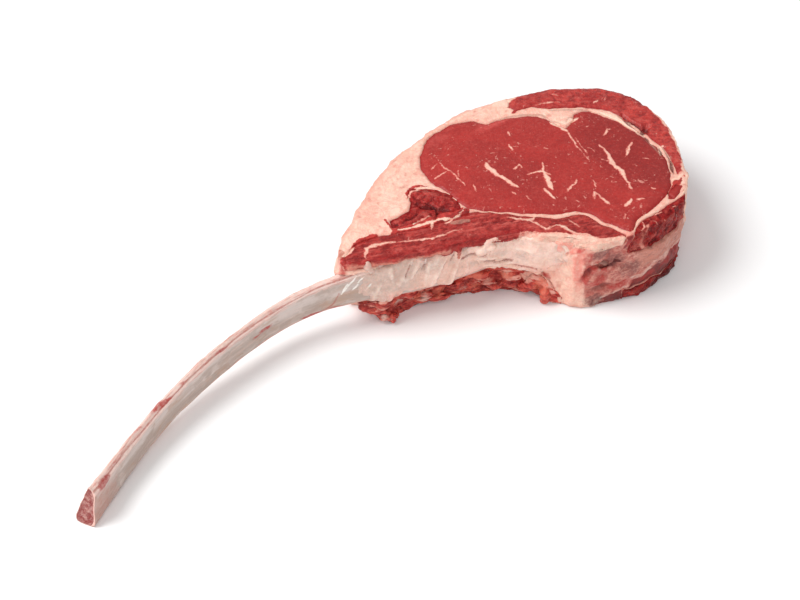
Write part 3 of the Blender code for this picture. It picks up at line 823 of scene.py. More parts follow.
# The ragged meat below the rib.
raggedLook = {
    "name": "raggedMeat", "node": "intercostal_meat", "slot": "dark_lean", "seed": 800, "grid": 0.55,
    "roughness": [((11, 9, 5), 1.6), ((7, 5, 2.6), 1.1), ((3.6, 3, 1.6), 0.55), (1.2, 0.2)],  # lump size and reach
    "shredSize": (13, 9, 3.2),  # narrow valleys run between shreds of this size
    "shredDepth": 1.1,
    "fatSize": (12, 8, 1.8),  # size of the thin layers of fat in it
    "lumps": [
        ((-108.5, -7.6, 3.6), (3, 2.2, 3.6), 10),
        ((-104.5, -5.6, 3), (2.4, 2, 3), 0),
        ((-98, -5.4, 14), (6.4, 2, 2.2), -20),
        ((-89, -9.4, 10), (7, 2, 2.6), -20),
        ((-79, -11.4, 6), (6.4, 2, 2.6), -20),
        ((-69, -14.6, 12), (8, 2.2, 2.6), -20),
        ((-59, -18, 16), (8, 2.4, 2.4), -24),
        ((-52, -21.5, 8), (7, 2.4, 3), -34),
        ((-43.4, -27.6, 14), (6, 2.4, 3), -48),
        ((-37, -34.5, 8), (5.6, 2.6, 3.4), -50),
        ((-32, -43, 6), (2.2, 3.2, 5.6), -20),
    ],
    "paleSpots": [
        (1.4, (-99.5, -6, 9), (6, 4, 3.4)),
        (1.3, (-88.4, -8.8, 9.6), (4.4, 4, 3.6)),
        (0.7, (-76, -12, 17), (7, 4, 2.4)),
        (0.8, (-112, -5.4, 5), (3, 3, 2.4)),
        (0.6, (-66, -15.4, 6), (4, 4, 2.4)),
        (0.8, (-53, -20, 9), (4, 4, 2.2)),
    ],
    "creamSpots": [
        (1.4, (-36.6, -34, 14.6), (5, 5, 5)), (1.3, (-32.6, -40.4, 14), (5, 5, 4)), (1, (-29.6, -46, 11), (3, 4, 5)),
        (0.8, (-46, -25.6, 17), (6, 4, 3)), (0.7, (-70, -14.6, 18), (8, 4, 2.4)),
    ],
    "orangeSpots": [
        (0.9, (-93.6, -7.6, 11), (6, 4, 3.4)), (0.8, (-62, -18, 17), (9, 5, 3)), (1, (-33, -41, 10), (5, 6, 9)),
        (0.7, (-45, -26, 15), (8, 6, 3)), (0.6, (-80, -11, 8), (6, 4, 3)), (1, (-88, -7, 8), (5, 4, 2.6)),
        (0.9, (-78, -9.6, 9), (4, 4, 3)), (0.9, (-57, -17, 6), (6, 5, 2.6)), (0.8, (-106, -6, 12), (5, 4, 2.6)),
    ],
}


def shapeRaggedMeat(look):
    piece = denseCopy(look["name"], look["node"], look["grid"], look["lumps"], 1)
    mesh = piece.data
    places, facing = readMesh(mesh)
    touching = againstNeighbour(places, look["node"])
    push = np.zeros(len(places))
    for index, (size, reach) in enumerate(look["roughness"]):
        push += reach * softNoise(places, size, look["seed"] + index)
    tear = np.abs(softNoise(places, look["shredSize"], look["seed"] + 20))
    push -= look["shredDepth"] * (1 - fade(tear, 0, 0.16))
    moved = places + facing * np.where(touching, sliceLook["closeGap"], push)[:, None]
    moved[:, 2] = np.maximum(moved[:, 2], sliceLook["floorGap"] + 0.2 * np.abs(softNoise(places, 4, 5)))
    writeMesh(mesh, moved)
    layers = layeredNoise(places, look["fatSize"], 3, look["seed"] + 60)
    keepMask(mesh, "fat", 1.8 * layers - 1 + 2 * spotMask(places, look["creamSpots"]))
    # How low each place lies, for painted shade there.
    keepMask(mesh, "hollow", -push / 1.5)
    # Painted shade: dark in the valleys between shreds and close to the floor.
    keepMask(mesh, "dark", 0.5 * (1 - fade(tear, 0.01, 0.1)) + 0.3 * fade(-places[:, 2], -3, 0))
    keepMask(mesh, "pale", spotMask(places, look["paleSpots"]))
    keepMask(mesh, "orange", spotMask(places, look["orangeSpots"]))
    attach(piece, "root")
    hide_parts(look["node"])
    report(piece)
    return piece


# The skin over the rib, which runs on into the fat.
membraneLook = {
    "name": "ribMembrane",
    "step": 0.65,  # mm between points along it
    "rows": 46,  # points across it
    "grid": 0.5,
    # where it runs, in plan, with its lowest and highest edge
    "path": [
        (-128, -1.4, 19, 44), (-121, -3.4, 17, 46), (-110, -8, 15.6, 47), (-97, -13.2, 15.4, 47.6),
        (-84, -18, 15.6, 47.4), (-72, -20.8, 17.6, 47.6), (-62, -23.6, 20, 48.6), (-53, -27.2, 20, 49.4),
        (-45, -31.4, 17, 49.6), (-38, -37, 16, 49.6), (-31, -44.4, 22, 49.6), (-26, -49.8, 28, 49.6),
        (-22, -54.4, 31, 49.4),
    ],
    "feeler": 12,  # how far outside its path it starts to look for what carries it
    "feelerDepth": 14,  # where nothing is found it lies 2 mm behind its path
    "relax": 14,  # rounds that turn the steps between the solids into slopes
    "lift": 0.75,  # how far it stands over what carries it
    "backing": 1.6,  # how far it reaches into what carries it
    "lumps": [(0.5, (6, 6, 9), 3, 950), (0.16, 1.8, 1, 955)],  # height, size, layers and seed of its soft lumps
    "pleat": 0.95,  # height of the fine pleats over the thick of the rib
    "pleatSize": (3.1, 1, 24),
    "pleatGroove": (0.3, (1.3, 1, 12)),  # share and size of the finer grooves in them
    "pleatLean": 0.42,  # how far they lean over, per mm of height
    "pleatStart": (66, 76),  # mm left of the middle where they come up
    "pleatEnd": (104, 114),  # and where most of them stop
    "nodule": 0.6,  # height of the small lumps toward its lower left
    "noduleSize": 2,
    "noduleStart": (88, 102),
    "knobs": [  # lumps of fat: place, size, turn
        ((-120.8, -2.6, 46.4), (2.3, 1.8, 3.4), -30),
        ((-119.2, -3.4, 43.4), (1.8, 1.5, 2.4), 10),
        ((-122.6, -1.4, 44.6), (2.4, 1.3, 1.3), -30),
        ((-62.3, -24.4, 40.7), (3.6, 2.2, 2.6), -20),
        ((-57.4, -26.4, 42.4), (3, 1.8, 1.8), -20),
    ],
    "fade": 11,  # mm over which it sinks in at either end
    "endSink": 2.2,  # and how far
    "rimSink": 2.6,  # how far it sinks in along its long edges
    "width": 27,  # about how wide it is
    "rimTears": [(2.6, (5, 5, 4), 961), (1.2, (2, 2, 3), 962)],  # reach, size and seed of the tears in its long edges
    "folds": [  # height, half width and the points along each fold's ridge
        (1.8, 1.5, [(-94, -14.1, 46.2), (-96, -12, 40), (-98.6, -10.8, 32)]),
        (1.9, 1.5, [(-88.8, -15.9, 46.4), (-90, -14.4, 38), (-92, -13.4, 28)]),
        (1.9, 1.5, [(-80.7, -17, 40), (-84, -16, 33), (-88, -14.9, 24)]),
        (1.7, 1.4, [(-74.7, -18.3, 34.6), (-77, -17.4, 28), (-79.6, -16.7, 20)]),
        (1.4, 1.3, [(-85.4, -16.2, 46), (-86.6, -15.8, 42), (-87.8, -15.2, 37)]),
        (1.3, 1.3, [(-69.9, -19.5, 36.4), (-67.8, -20.1, 27)]),
        (1.3, 1.4, [(-109, -6.5, 41.6), (-108.4, -6.6, 36), (-107.8, -6.6, 29)]),
        (1.2, 1.3, [(-104.1, -8.3, 34.4), (-101.6, -9.2, 30)]),
        (1.2, 1.2, [(-113, -6.6, 34), (-116, -5.4, 28), (-118, -4.6, 23)]),
        (1.2, 1.8, [(-68, -22, 41), (-62, -24.6, 42.4), (-56, -26.8, 40)]),
        (1.2, 1.8, [(-70, -21.6, 33), (-63, -24, 36.4), (-57, -26.4, 34), (-50, -28.4, 33)]),
        (1, 1.4, [(-64, -23.2, 29), (-57, -25.6, 29.4), (-50, -28.6, 28.6), (-43, -32.8, 30)]),
        (0.9, 1.6, [(-50, -29, 39), (-42, -33.6, 38.4), (-35, -40, 37)]),
        (1.3, 2, [(-52, -26.6, 24), (-44, -31, 22.4), (-38.6, -36.4, 20.6), (-34.6, -41, 17)]),
    ],
    "cuts": [  # depth, half width and the points of each knife mark
        (1.5, 0.6, [(-90.8, -15.2, 46.4), (-91.3, -13.7, 41.3), (-93, -12.9, 36.9)]),
        (1.5, 0.6, [(-81.6, -16.7, 37.6), (-83.3, -16.1, 32.5), (-85.4, -15.7, 29)]),
        (1, 0.5, [(-100, -11.4, 41), (-102, -10.6, 34)]),
        (0.9, 0.5, [(-76.6, -18.6, 43), (-77.8, -18, 38)]),
        (0.9, 0.8, [(-72, -20.6, 37), (-66, -22.6, 38.6), (-60, -24.8, 38)]),
        (1, 0.8, [(-60, -24.4, 32.4), (-53, -27, 30.8), (-46, -30.8, 30)]),
        (1.1, 0.7, [(-48, -29.4, 26.4), (-42, -33.5, 25.4), (-36.2, -39.2, 25.2), (-33.5, -42.1, 21.7),
                    (-30.4, -45.6, 15)]),
    ],
    "redCut": 6,  # the cut that holds blood
    "blush": [(0.9, (-120.8, -2.8, 46), (4, 4, 5))],
}


# How far what carries the skin lies in front of its path, at each point of a grid along and across it.
def feelSurface(look, grid, outward):
    bm = bmesh.new()
    for name in ("ribBone", "fatBody", "raggedMeat", "ribStrip"):
        bm.from_mesh(pieces[name].data)
    tree = BVHTree.FromBMesh(bm)
    bm.free()
    base = np.zeros(grid.shape[:2])
    reach = look["feeler"] + look["feelerDepth"]
    for column, row in np.ndindex(base.shape):
        start = grid[column, row] + outward[column] * look["feeler"]
        hit = tree.ray_cast(Vector(start * mm), Vector(-outward[column]), reach * mm)[3]
        base[column, row] = look["feeler"] - (hit / mm if hit else look["feelerDepth"])
    for _ in range(look["relax"]):
        inner = base.copy()
        inner[1:-1] = base[1:-1] + 0.25 * (base[:-2] + base[2:] - 2 * base[1:-1])
        inner[:, 1:-1] += 0.25 * (base[:, :-2] + base[:, 2:] - 2 * base[:, 1:-1])
        base = inner
    return base


# The relief of the skin: lumps, pleats, nodules, folds and cuts.
def membraneRelief(look, places, facing):
    relief = sum(height * layeredNoise(places, size, layers, seed) for height, size, layers, seed in look["lumps"])
    x, z = places[:, 0], places[:, 2]
    leaning = np.column_stack([x - look["pleatLean"] * (z - 37), np.zeros(len(x)), z])
    pleats = fade(softNoise(leaning, look["pleatSize"], 970), 0, 0.7)
    groove, size = look["pleatGroove"]
    pleats -= groove * fade(softNoise(leaning, size, 971), 0.2, 0.8)
    relief += look["pleat"] * pleats * fade(-x, *look["pleatStart"]) * (1 - 0.7 * fade(-x, *look["pleatEnd"]))
    nodules = fade(softNoise(places, look["noduleSize"], 980), 0.2, 0.7)
    nodules = nodules * fade(-x - 0.9 * (z - 30), *look["noduleStart"])
    relief += look["nodule"] * nodules
    for height, half, line in look["folds"]:
        relief += height * softBand(places, line, half, facing, taper=0.06)
    for depth, half, line in look["cuts"]:
        relief -= depth * softBand(places, line, half, facing)
    return relief


# A closed skin between a front and a back that have the same points, in columns along it and rows across it.
def closedSkin(name, front, back, columns, rows):
    index = np.arange(len(front)).reshape(columns, rows)
    quads = np.stack([index[:-1, :-1], index[1:, :-1], index[1:, 1:], index[:-1, 1:]], axis=-1).reshape(-1, 4)
    loop = list(index[:, 0]) + list(index[-1, 1:]) + list(index[::-1, -1][1:]) + list(index[0, ::-1][1:-1])
    skirt = [(a, b, b + len(front), a + len(front)) for a, b in zip(loop, loop[1:] + loop[:1])]
    places = np.concatenate([front, back])
    mesh = bpy.data.meshes.new(name)
    mesh.from_pydata((places * mm).tolist(), [], quads.tolist() + (quads[:, ::-1] + len(front)).tolist() + skirt)
    return mesh


def shapeMembrane(look):
    path = smoothLine(look["path"], look["step"], columns=2)
    rows = look["rows"]
    heading = headingsOf(path)
    outward = np.column_stack([heading[:, 1], -heading[:, 0], np.zeros(len(path))])
    share = np.linspace(0, 1, rows)
    grid = np.zeros((len(path), rows, 3))
    grid[:, :, :2] = path[:, None, :2]
    grid[:, :, 2] = path[:, 2:3] + share * (path[:, 3:4] - path[:, 2:3])
    facing = np.repeat(outward, rows, axis=0)
    onFace = grid.reshape(-1, 3) + facing * feelSurface(look, grid, outward).reshape(-1, 1)
    relief = membraneRelief(look, onFace, facing)
    lift = look["lift"] + relief
    done = np.arange(len(path)).repeat(rows) * look["step"]
    ends = np.minimum(done, done.max() - done) + 5 * softNoise(onFace, (6, 6, 4), 960)
    rim = np.tile(np.minimum(share, 1 - share), len(path)) * look["width"]
    rim += sum(reach * softNoise(onFace, size, seed) for reach, size, seed in look["rimTears"])
    lift -= look["endSink"] * (1 - fade(ends, 0, look["fade"])) + look["rimSink"] * (1 - fade(rim, 1, 4))
    front = onFace + facing * lift[:, None]
    mesh = closedSkin(look["name"], front, onFace - facing * look["backing"], len(path), rows)
    faceOutward(mesh, look["knobs"])
    piece = newObject(look["name"], mesh)
    evenOut(piece, look["grid"])
    applyModifiers(piece)

    # each point of the even skin takes its marks from the nearest point of the front
    mesh = piece.data
    places, skinFacing = readMesh(mesh)
    tree = pointTree(front)
    nearest = np.array([tree.find(place)[1] for place in places])
    height = relief[nearest]
    level = np.tile(share, len(path))[nearest]
    cuts = [softBand(front, line, half, facing)[nearest] for _, half, line in look["cuts"]]
    cut, blood = np.max(cuts, axis=0), cuts[look["redCut"]]
    # How low the skin lies, for painted shade in its valleys.
    keepMask(mesh, "hollow", -1.3 * height)
    keepMask(mesh, "fat", np.full(len(places), -20.0))
    grey = 1.1 * fade(-places[:, 0], 88, 106) * fade(level, 0.1, 0.4)
    grey = np.maximum(grey, 0.9 * fade(-places[:, 0], 76, 90) * fade(level, 0.45, 0.7) * (1 - fade(level, 0.8, 0.92)))
    grey = np.maximum(grey, 1.3 * fade(-places[:, 0], 106, 118))
    # Grey over the left end, and greyer in the valleys as painted shade.
    keepMask(mesh, "silver", np.maximum(grey, 0.8 * fade(-height, -0.2, 0.5)))
    keepMask(mesh, "red", 0.2 * cut + 0.7 * blood)
    # Painted shade in the knife cuts, less where the cut holds blood.
    keepMask(mesh, "dark", 0.8 * cut - 0.4 * blood)
    # Painted highlights on the raised pleats and folds, paler skin toward the right end, and the white scrapes.
    pale = 0.3 * fade(places[:, 0], -75, -50) + 0.55 * fade(height, 0.2, 1.4)
    keepMask(mesh, "pale", np.maximum(pale, 1.3 * scrapeAndGlintMask(places, skinFacing)))
    bloom = 0.55 * fade(0.42 - level, 0, 0.3) + 0.5 * fade(level, 0.86, 0.97) + 0.14 * fade(places[:, 0], -90, -50)
    keepMask(mesh, "bloom", np.maximum(bloom, spotMask(places, look["blush"])))
    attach(piece, "root")
    report(piece)
    return piece


# The rib.
ribLook = {
    "ringStep": 0.8,  # mm between rings of points along it
    "around": 132,  # points in a ring
    "sawLean": 0.27,  # the sawn tip leans back by this share of its height
    "leanLength": 12,
    "sawRings": 15,  # rings in each sawn end
    "usualSize": (9, 22),  # thickness and height that set the even spacing round a ring
    # inner face in plan, lower edge, height and thickness
    "stations": [
        (-304.8, -33.6, 0, 23, 10.8),
        (-276, -17.2, 1.6, 20.1, 9.6),
        (-246, -4, 5.3, 18.3, 9),
        (-210, 6, 8.8, 19.6, 8.8),
        (-172, 10.8, 12.8, 19.8, 8.8),
        (-146, 8.2, 15.8, 21, 9),
        (-125, 0.3, 18.4, 24.3, 9),
        (-104, -8.8, 19.5, 26, 9),
        (-84, -16.4, 20.5, 25.2, 9),
        (-62, -21.5, 22, 23.4, 8.6),
        (-42, -25.5, 24, 20, 8),
    ],
    # shares of thickness away from the inner face, and of height
    "section": [
        (0.14, 0.01), (0, 0.1), (0.05, 0.5), (0.02, 0.82), (0.05, 0.875), (0.16, 0.94), (0.3, 0.98), (0.42, 0.95),
        (0.57, 0.76), (0.76, 0.5), (0.93, 0.27), (1, 0.14), (0.96, 0.03), (0.7, 0), (0.38, 0),
    ],
    "ridges": [(26, 1.5, 0.13), (14, 3.2, 0.16), (9, 8, 0.22)],  # length, width and height of the ridges along it
    "crestGrain": (0.2, (3.4, 3.4, 2)),  # height and size of the lumps on its crest
    "pores": (0.09, 1.1),  # the same for the spongy bone in the sawn tip
    "marrowDip": 0.25,
    "slashes": [  # knife marks: depth, half width, points
        (0.7, 0.45, [(-94, -13.2, 45), (-92.6, -13.4, 40), (-90.6, -13.8, 34)]),
        (0.7, 0.45, [(-87.4, -15.4, 42), (-85.8, -15.8, 38), (-83, -16.4, 28.6)]),
        (0.5, 0.4, [(-96.6, -11.8, 36.4), (-95.6, -12.2, 32), (-94, -12.7, 27)]),
        (0.5, 0.5, [(-79, -18, 40), (-77.4, -18.2, 34)]),
        (0.5, 0.6, [(-119, -1.6, 36), (-114, -4, 33), (-110, -5.6, 34)]),
    ],
    "scrapesAndGlints": [  # white knife scrapes, partly painted highlights for wet glints: half width, points
        (0.9, [(-133, 4, 27.4), (-131, 3.2, 31), (-129.6, 2.5, 35)]),
        (0.6, [(-131.4, 3.4, 30), (-129, 2.2, 33.6), (-127, 1.4, 36.4), (-125.3, 0.5, 39.4)]),
        (0.6, [(-127.7, 1.9, 29.2), (-125.6, 1, 31.4), (-124.2, 0.4, 34)]),
        (0.5, [(-124.8, 0.6, 34), (-122.6, -0.4, 36.8), (-121.3, -1, 38)]),
        (0.6, [(-121.6, -0.9, 28), (-119.4, -2, 30), (-118, -2.6, 32.4)]),
    ],
    "veins": [  # half width, points
        (0.5, [(-134.2, 4.6, 28), (-136.4, 5.4, 23.4), (-138.1, 5.9, 20.8), (-142.9, 7.4, 18.4), (-150, 9.4, 18)]),
        (0.5, [(-172.3, 11.2, 23), (-176, 11, 21.6), (-182.9, 10.3, 20.2)]),
    ],
    "stains": [  # blood on the bone: amount, place, size
        (1.2, (-246, -3, 22.6), (10, 4, 1.3)),
        (0.8, (-231, 0.6, 24.6), (4, 3, 1)),
        (0.9, (-205, 6.6, 27), (6, 4, 1)),
        (0.8, (-262, -10, 22), (8, 3, 1)),
        (0.45, (-283, -20.6, 20.4), (7, 4, 1)),
        (1.4, (-292.5, -26.2, 19), (7, 4.6, 3)),
        (1, (-176.6, 10.8, 22), (5.4, 3, 1.5)),
        (0.8, (-183, 10.3, 20.4), (3.4, 3, 0.9)),
        (1.2, (-149, 8.4, 17), (9, 3, 1.7)),
        (0.8, (-137, 4.6, 18.6), (7, 3, 1.6)),
        (0.6, (-128, 1, 42), (8, 5, 2.2)),
    ],
    # shares of the height and the tone there: 0 beige, 1 lilac white
    "bands": [(0, 0.55), (0.1, 0.35), (0.3, 0.15), (0.45, 0.35), (0.6, 0.75), (0.75, 0.9), (0.84, 0.55), (0.9, 0.9)],
}


# White knife scrapes over the bone and the skin on it, which partly stand for wet glints as painted highlights.
def scrapeAndGlintMask(places, facing):
    whitened = np.zeros(len(places))
    for half, line in ribLook["scrapesAndGlints"]:
        distance, along = lineDistance(places, smoothLine(line, 1.5), facing, 5)
        width = half * np.sin(math.pi * np.clip(along, 0.1, 0.9))
        whitened = np.maximum(whitened, np.exp(-((distance / width) ** 2)))
    return whitened


# The rib's section with its points spaced evenly, and how far round each of them is.
def evenSection(look):
    section = smoothLine(look["section"], 0.004, closed=True, columns=2)
    reach = lengthsAlong(section * look["usualSize"])
    even = np.linspace(0, reach[-1], look["around"], endpoint=False)
    return np.stack([np.interp(even, reach, section[:, axis]) for axis in (0, 1)], axis=1), even


# The rings of points along the rib, with the flat rings of the sawn ends before and after them.
def ribRings(look, stations, length, section):
    rings = []
    for (x, y, bottom, height, thick), far, (alongX, alongY) in zip(stations, length, headingsOf(stations)):
        ring = np.zeros((look["around"], 3))
        lean = look["sawLean"] * max(0, 1 - far / look["leanLength"]) * section[:, 1] * height
        ring[:, 0] = x - alongY * section[:, 0] * thick + alongX * lean
        ring[:, 1] = y + alongX * section[:, 0] * thick + alongY * lean
        ring[:, 2] = bottom + section[:, 1] * height
        rings.append(ring)
    sawn = []
    for end, order in ((rings[0], 1), (rings[-1], -1)):
        middle = end.mean(axis=0)
        caps = [middle + (end - middle) * share for share in np.linspace(0, 1, look["sawRings"], endpoint=False)]
        caps[0] = caps[1] * 0.2 + middle * 0.8
        sawn.append(caps[::order])
    return sawn[0] + rings + sawn[1]


def shapeRib(look):
    stations = smoothLine(look["stations"], look["ringStep"])
    section, even = evenSection(look)
    length = lengthsAlong(stations[:, :2])
    rings = ribRings(look, stations, length, section)
    count = look["around"]
    index = np.arange(len(rings) * count).reshape(-1, count)
    quads = np.stack([index[:-1], np.roll(index[:-1], -1, 1), np.roll(index[1:], -1, 1), index[1:]], axis=-1)
    ends = [list(index[0][::-1]), list(index[-1])]
    mesh = bpy.data.meshes.new("ribBone")
    mesh.from_pydata((np.concatenate(rings) * mm).tolist(), [], quads.reshape(-1, 4).tolist() + ends)
    faceOutward(mesh)
    mesh.shade_smooth()
    piece = newObject("ribBone", mesh)

    places, facing = readMesh(mesh)
    first = look["sawRings"]
    along = np.concatenate([np.zeros(first), length, np.full(first, length[-1])]).repeat(count)
    around = np.tile(even, len(rings))
    level = np.tile(section[:, 1], len(rings))
    width = np.tile(section[:, 0], len(rings))
    ringNumber = np.arange(len(rings)).repeat(count)
    onSaw = ringNumber < first
    rim = np.where(onSaw, 1 - ringNumber / first, 0)
    crest = fade(level, 0.66, 0.9) * (width < 0.6) + fade(width, 0.12, 0.4) * fade(level, 0.3, 0.6)
    crest = np.clip(crest, 0, 1)
    onBone = np.stack([along, around, np.zeros(len(along))], axis=1)
    push = np.zeros(len(places))
    for number, (long, wide, high) in enumerate(look["ridges"]):
        push += high * softNoise(onBone, (long, wide, 1), 900 + number)
    height, size = look["crestGrain"]
    push += crest * height * layeredNoise(places, size, 3, 910)
    for depth, half, line in look["slashes"]:
        push -= depth * softBand(places, line, half, facing)
    height, size = look["pores"]
    porous = height * layeredNoise(places, size, 2, 930)
    push = np.where(onSaw, porous * fade(rim, 0.1, 0.25) - look["marrowDip"] * fade(rim, 0.06, 0.22), push)
    moved = places + facing * push[:, None]
    moved[:, 2] = np.maximum(moved[:, 2], sliceLook["floorGap"])
    writeMesh(mesh, moved)

    keepMask(mesh, "along", along)
    keepMask(mesh, "around", around)
    keepMask(mesh, "crest", crest * ~onSaw)
    inward = rim - 0.16 * fade(-width, -0.24, 0)
    keepMask(mesh, "marrow", onSaw * 2.4 * fade(inward, 0.02, 0.16))
    keepMask(mesh, "sawn", onSaw * 1.0)
    keepMask(mesh, "lowEdge", fade(-level, -0.14, -0.02) * fade(-width, -0.9, -0.4) * ~onSaw)
    keepMask(mesh, "red", spotMask(places, look["stains"]))
    # White knife scrapes, partly painted highlights for wet glints.
    keepMask(mesh, "scrapeAndGlint", 1.3 * scrapeAndGlintMask(places, facing))
    veins = [softBand(places, line, half, facing, reach=5) for half, line in look["veins"]]
    keepMask(mesh, "vein", np.max(veins, axis=0))
    bands, tones = np.array(look["bands"]).T
    keepMask(mesh, "tone", np.interp(level + 0.12 * softNoise(onBone, (40, 60, 1), 940), bands, tones))
    sharp = (width < 0.2) * ~onSaw
    keepMask(mesh, "ridge", np.exp(-(((level - 0.86) / 0.03) ** 2)) * sharp)
    aboveRidge = level - 0.9 + 0.02 * softNoise(onBone, (12, 9, 1), 945)
    keepMask(mesh, "redLine", np.exp(-((aboveRidge / 0.022) ** 2)) * sharp)
    keepMask(mesh, "nearCut", fade(-along, -34, -4) * ~onSaw)
    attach(piece, "root")
    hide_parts("rib_bone")
    report(piece)
    return piece


sliceLooks = (eyeLook, capLook, stripLook, lipLook, smallLook, chineLook, fatLook)
pieces = {look["name"]: shapeSlicePiece({**plainLook, **look}) for look in sliceLooks}
pieces["raggedMeat"] = shapeRaggedMeat(raggedLook)
pieces["ribBone"] = shapeRib(ribLook)
pieces["ribMembrane"] = shapeMembrane(membraneLook)


# Turns a tone, as a picture shows it, into light for the finishes.
def light(red, green, blue):
    return (*[((part / 255 + 0.055) / 1.055) ** 2.4 for part in (red, green, blue)], 1)


# Adds a shader node. An input is given as a value, or as the socket that feeds it.
def put(tree, kind, settings={}, inputs={}):
    node = tree.nodes.new("ShaderNode" + kind)
    for name, value in settings.items():
        setattr(node, name, value)
    feed(tree, node, inputs)
    return node


def feed(tree, node, inputs):
    for name, value in inputs.items():
        if isinstance(value, bpy.types.NodeSocket):
            tree.links.new(value, node.inputs[name])
        else:
            node.inputs[name].default_value = value


def calculate(tree, operation, first, second=0.0, third=0.0):
    return put(tree, "Math", {"operation": operation}, {0: first, 1: second, 2: third}).outputs[0]


def mixColours(tree, share, first, second):
    return put(tree, "Mix", {"data_type": "RGBA"}, {0: share, 6: first, 7: second}).outputs[2]


# Lays a tone over a colour. Share is how much of it shows at each place.
def tinted(tree, colour, share, tone):
    return mixColours(tree, share, colour, light(*tone))


# From low to high as the value goes from start to end, smoothly.
def ease(tree, value, start, end, low=0.0, high=1.0):
    inputs = {"Value": value, "From Min": start, "From Max": end, "To Min": low, "To Max": high}
    return put(tree, "MapRange", {"interpolation_type": "SMOOTHSTEP"}, inputs).outputs[0]


def mask(tree, name):
    return put(tree, "Attribute", {"attribute_name": name}).outputs["Fac"]


# Places on the object in millimetres.
def millimetres(tree):
    coordinates = put(tree, "TexCoord").outputs["Object"]
    return put(tree, "VectorMath", {"operation": "SCALE"}, {0: coordinates, "Scale": 1000.0}).outputs[0]


def stretched(tree, where, stretch):
    return put(tree, "VectorMath", {"operation": "MULTIPLY"}, {0: where, 1: stretch}).outputs[0]


# Turns places about the upright axis, in radians.
def turned(tree, where, angle):
    return put(tree, "VectorRotate", {"rotation_type": "Z_AXIS"}, {"Vector": where, "Angle": angle}).outputs[0]


def noiseOf(tree, where, size, detail=2.0, roughness=0.5, distortion=0.0):
    frequency = calculate(tree, "DIVIDE", 1.0, size) if isinstance(size, bpy.types.NodeSocket) else 1 / size
    inputs = {"Vector": where, "Scale": frequency, "Detail": detail, "Roughness": roughness, "Distortion": distortion}
    return put(tree, "TexNoise", {}, inputs).outputs[0]


# The same with its middle at 0.
def evenNoise(tree, where, size, detail, roughness, distortion=0.0):
    return calculate(tree, "SUBTRACT", noiseOf(tree, where, size, detail, roughness, distortion), 0.5)


# Moves places about, so that cells and spots aren't round.
def bent(tree, where, size, amount):
    bend = put(tree, "TexNoise", {}, {"Vector": where, "Scale": 1 / size, "Detail": 3.0}).outputs[1]
    bend = put(tree, "VectorMath", {"operation": "SUBTRACT"}, {0: bend, 1: (0.5, 0.5, 0.5)}).outputs[0]
    bend = put(tree, "VectorMath", {"operation": "SCALE"}, {0: bend, "Scale": amount}).outputs[0]
    return put(tree, "VectorMath", {"operation": "ADD"}, {0: where, 1: bend}).outputs[0]


# The shader groups, each built once and placed in every finish that uses it.
groups = {}


# Starts a group. Its inputs are given with their plain values, and their kind follows from the value.
def newGroup(name, inputs, outputs):
    tree = bpy.data.node_groups.new(name, "ShaderNodeTree")
    for label, value in inputs.items():
        kind = {3: "Vector", 4: "Color"}[len(value)] if isinstance(value, tuple) else "Float"
        tree.interface.new_socket(label, in_out="INPUT", socket_type="NodeSocket" + kind).default_value = value
    for label, kind in outputs.items():
        tree.interface.new_socket(label, in_out="OUTPUT", socket_type="NodeSocket" + kind)
    groups[name] = tree
    return tree, tree.nodes.new("NodeGroupInput").outputs, tree.nodes.new("NodeGroupOutput").inputs


def useGroup(tree, name, inputs):
    node = tree.nodes.new("ShaderNodeGroup")
    node.node_tree = groups[name]
    feed(tree, node, inputs)
    return node.outputs


white = (1, 1, 1, 1)


# Colour that drifts between two tones in soft patches, with a finer mottle in it.
def makeMottleGroup():
    tree, given, made = newGroup(
        "fleshMottle",
        {"Tone A": white, "Tone B": white, "Patch Size": 8.0, "Mottle Size": 1.5, "Mottle": 0.3},
        {"Color": "Color"},
    )
    where = millimetres(tree)
    patch = noiseOf(tree, where, given["Patch Size"], 4, 0.6, 0.4)
    fine = evenNoise(tree, where, given["Mottle Size"], 4, 0.65)
    share = ease(tree, calculate(tree, "MULTIPLY_ADD", fine, given["Mottle"], patch), 0.34, 0.66)
    tree.links.new(mixColours(tree, share, given["Tone A"], given["Tone B"]), made["Color"])


# A mask with a torn natural edge, made from a smooth one.
def makeStainGroup():
    tree, given, made = newGroup(
        "tornStain",
        {"Mask": 0.0, "Size": 4.0, "Tear": 1.0, "Softness": 0.25, "Strength": 1.0},
        {"Mask": "Float"},
    )
    where = millimetres(tree)
    coarse = evenNoise(tree, where, given["Size"], 7, 0.78, 0.6)
    torn = calculate(tree, "MULTIPLY_ADD", coarse, given["Tear"], given["Mask"])
    low = calculate(tree, "SUBTRACT", 0.5, given["Softness"])
    high = calculate(tree, "ADD", 0.5, given["Softness"])
    share = calculate(tree, "MULTIPLY", ease(tree, torn, low, high), given["Strength"])
    uneven = ease(tree, noiseOf(tree, where, 2.2, 5, 0.7), 0.3, 0.62, 0.45, 1.0)
    share = calculate(tree, "MULTIPLY", share, uneven)
    tree.links.new(calculate(tree, "MULTIPLY", share, ease(tree, given["Mask"], 0.0, 0.12)), made["Mask"])


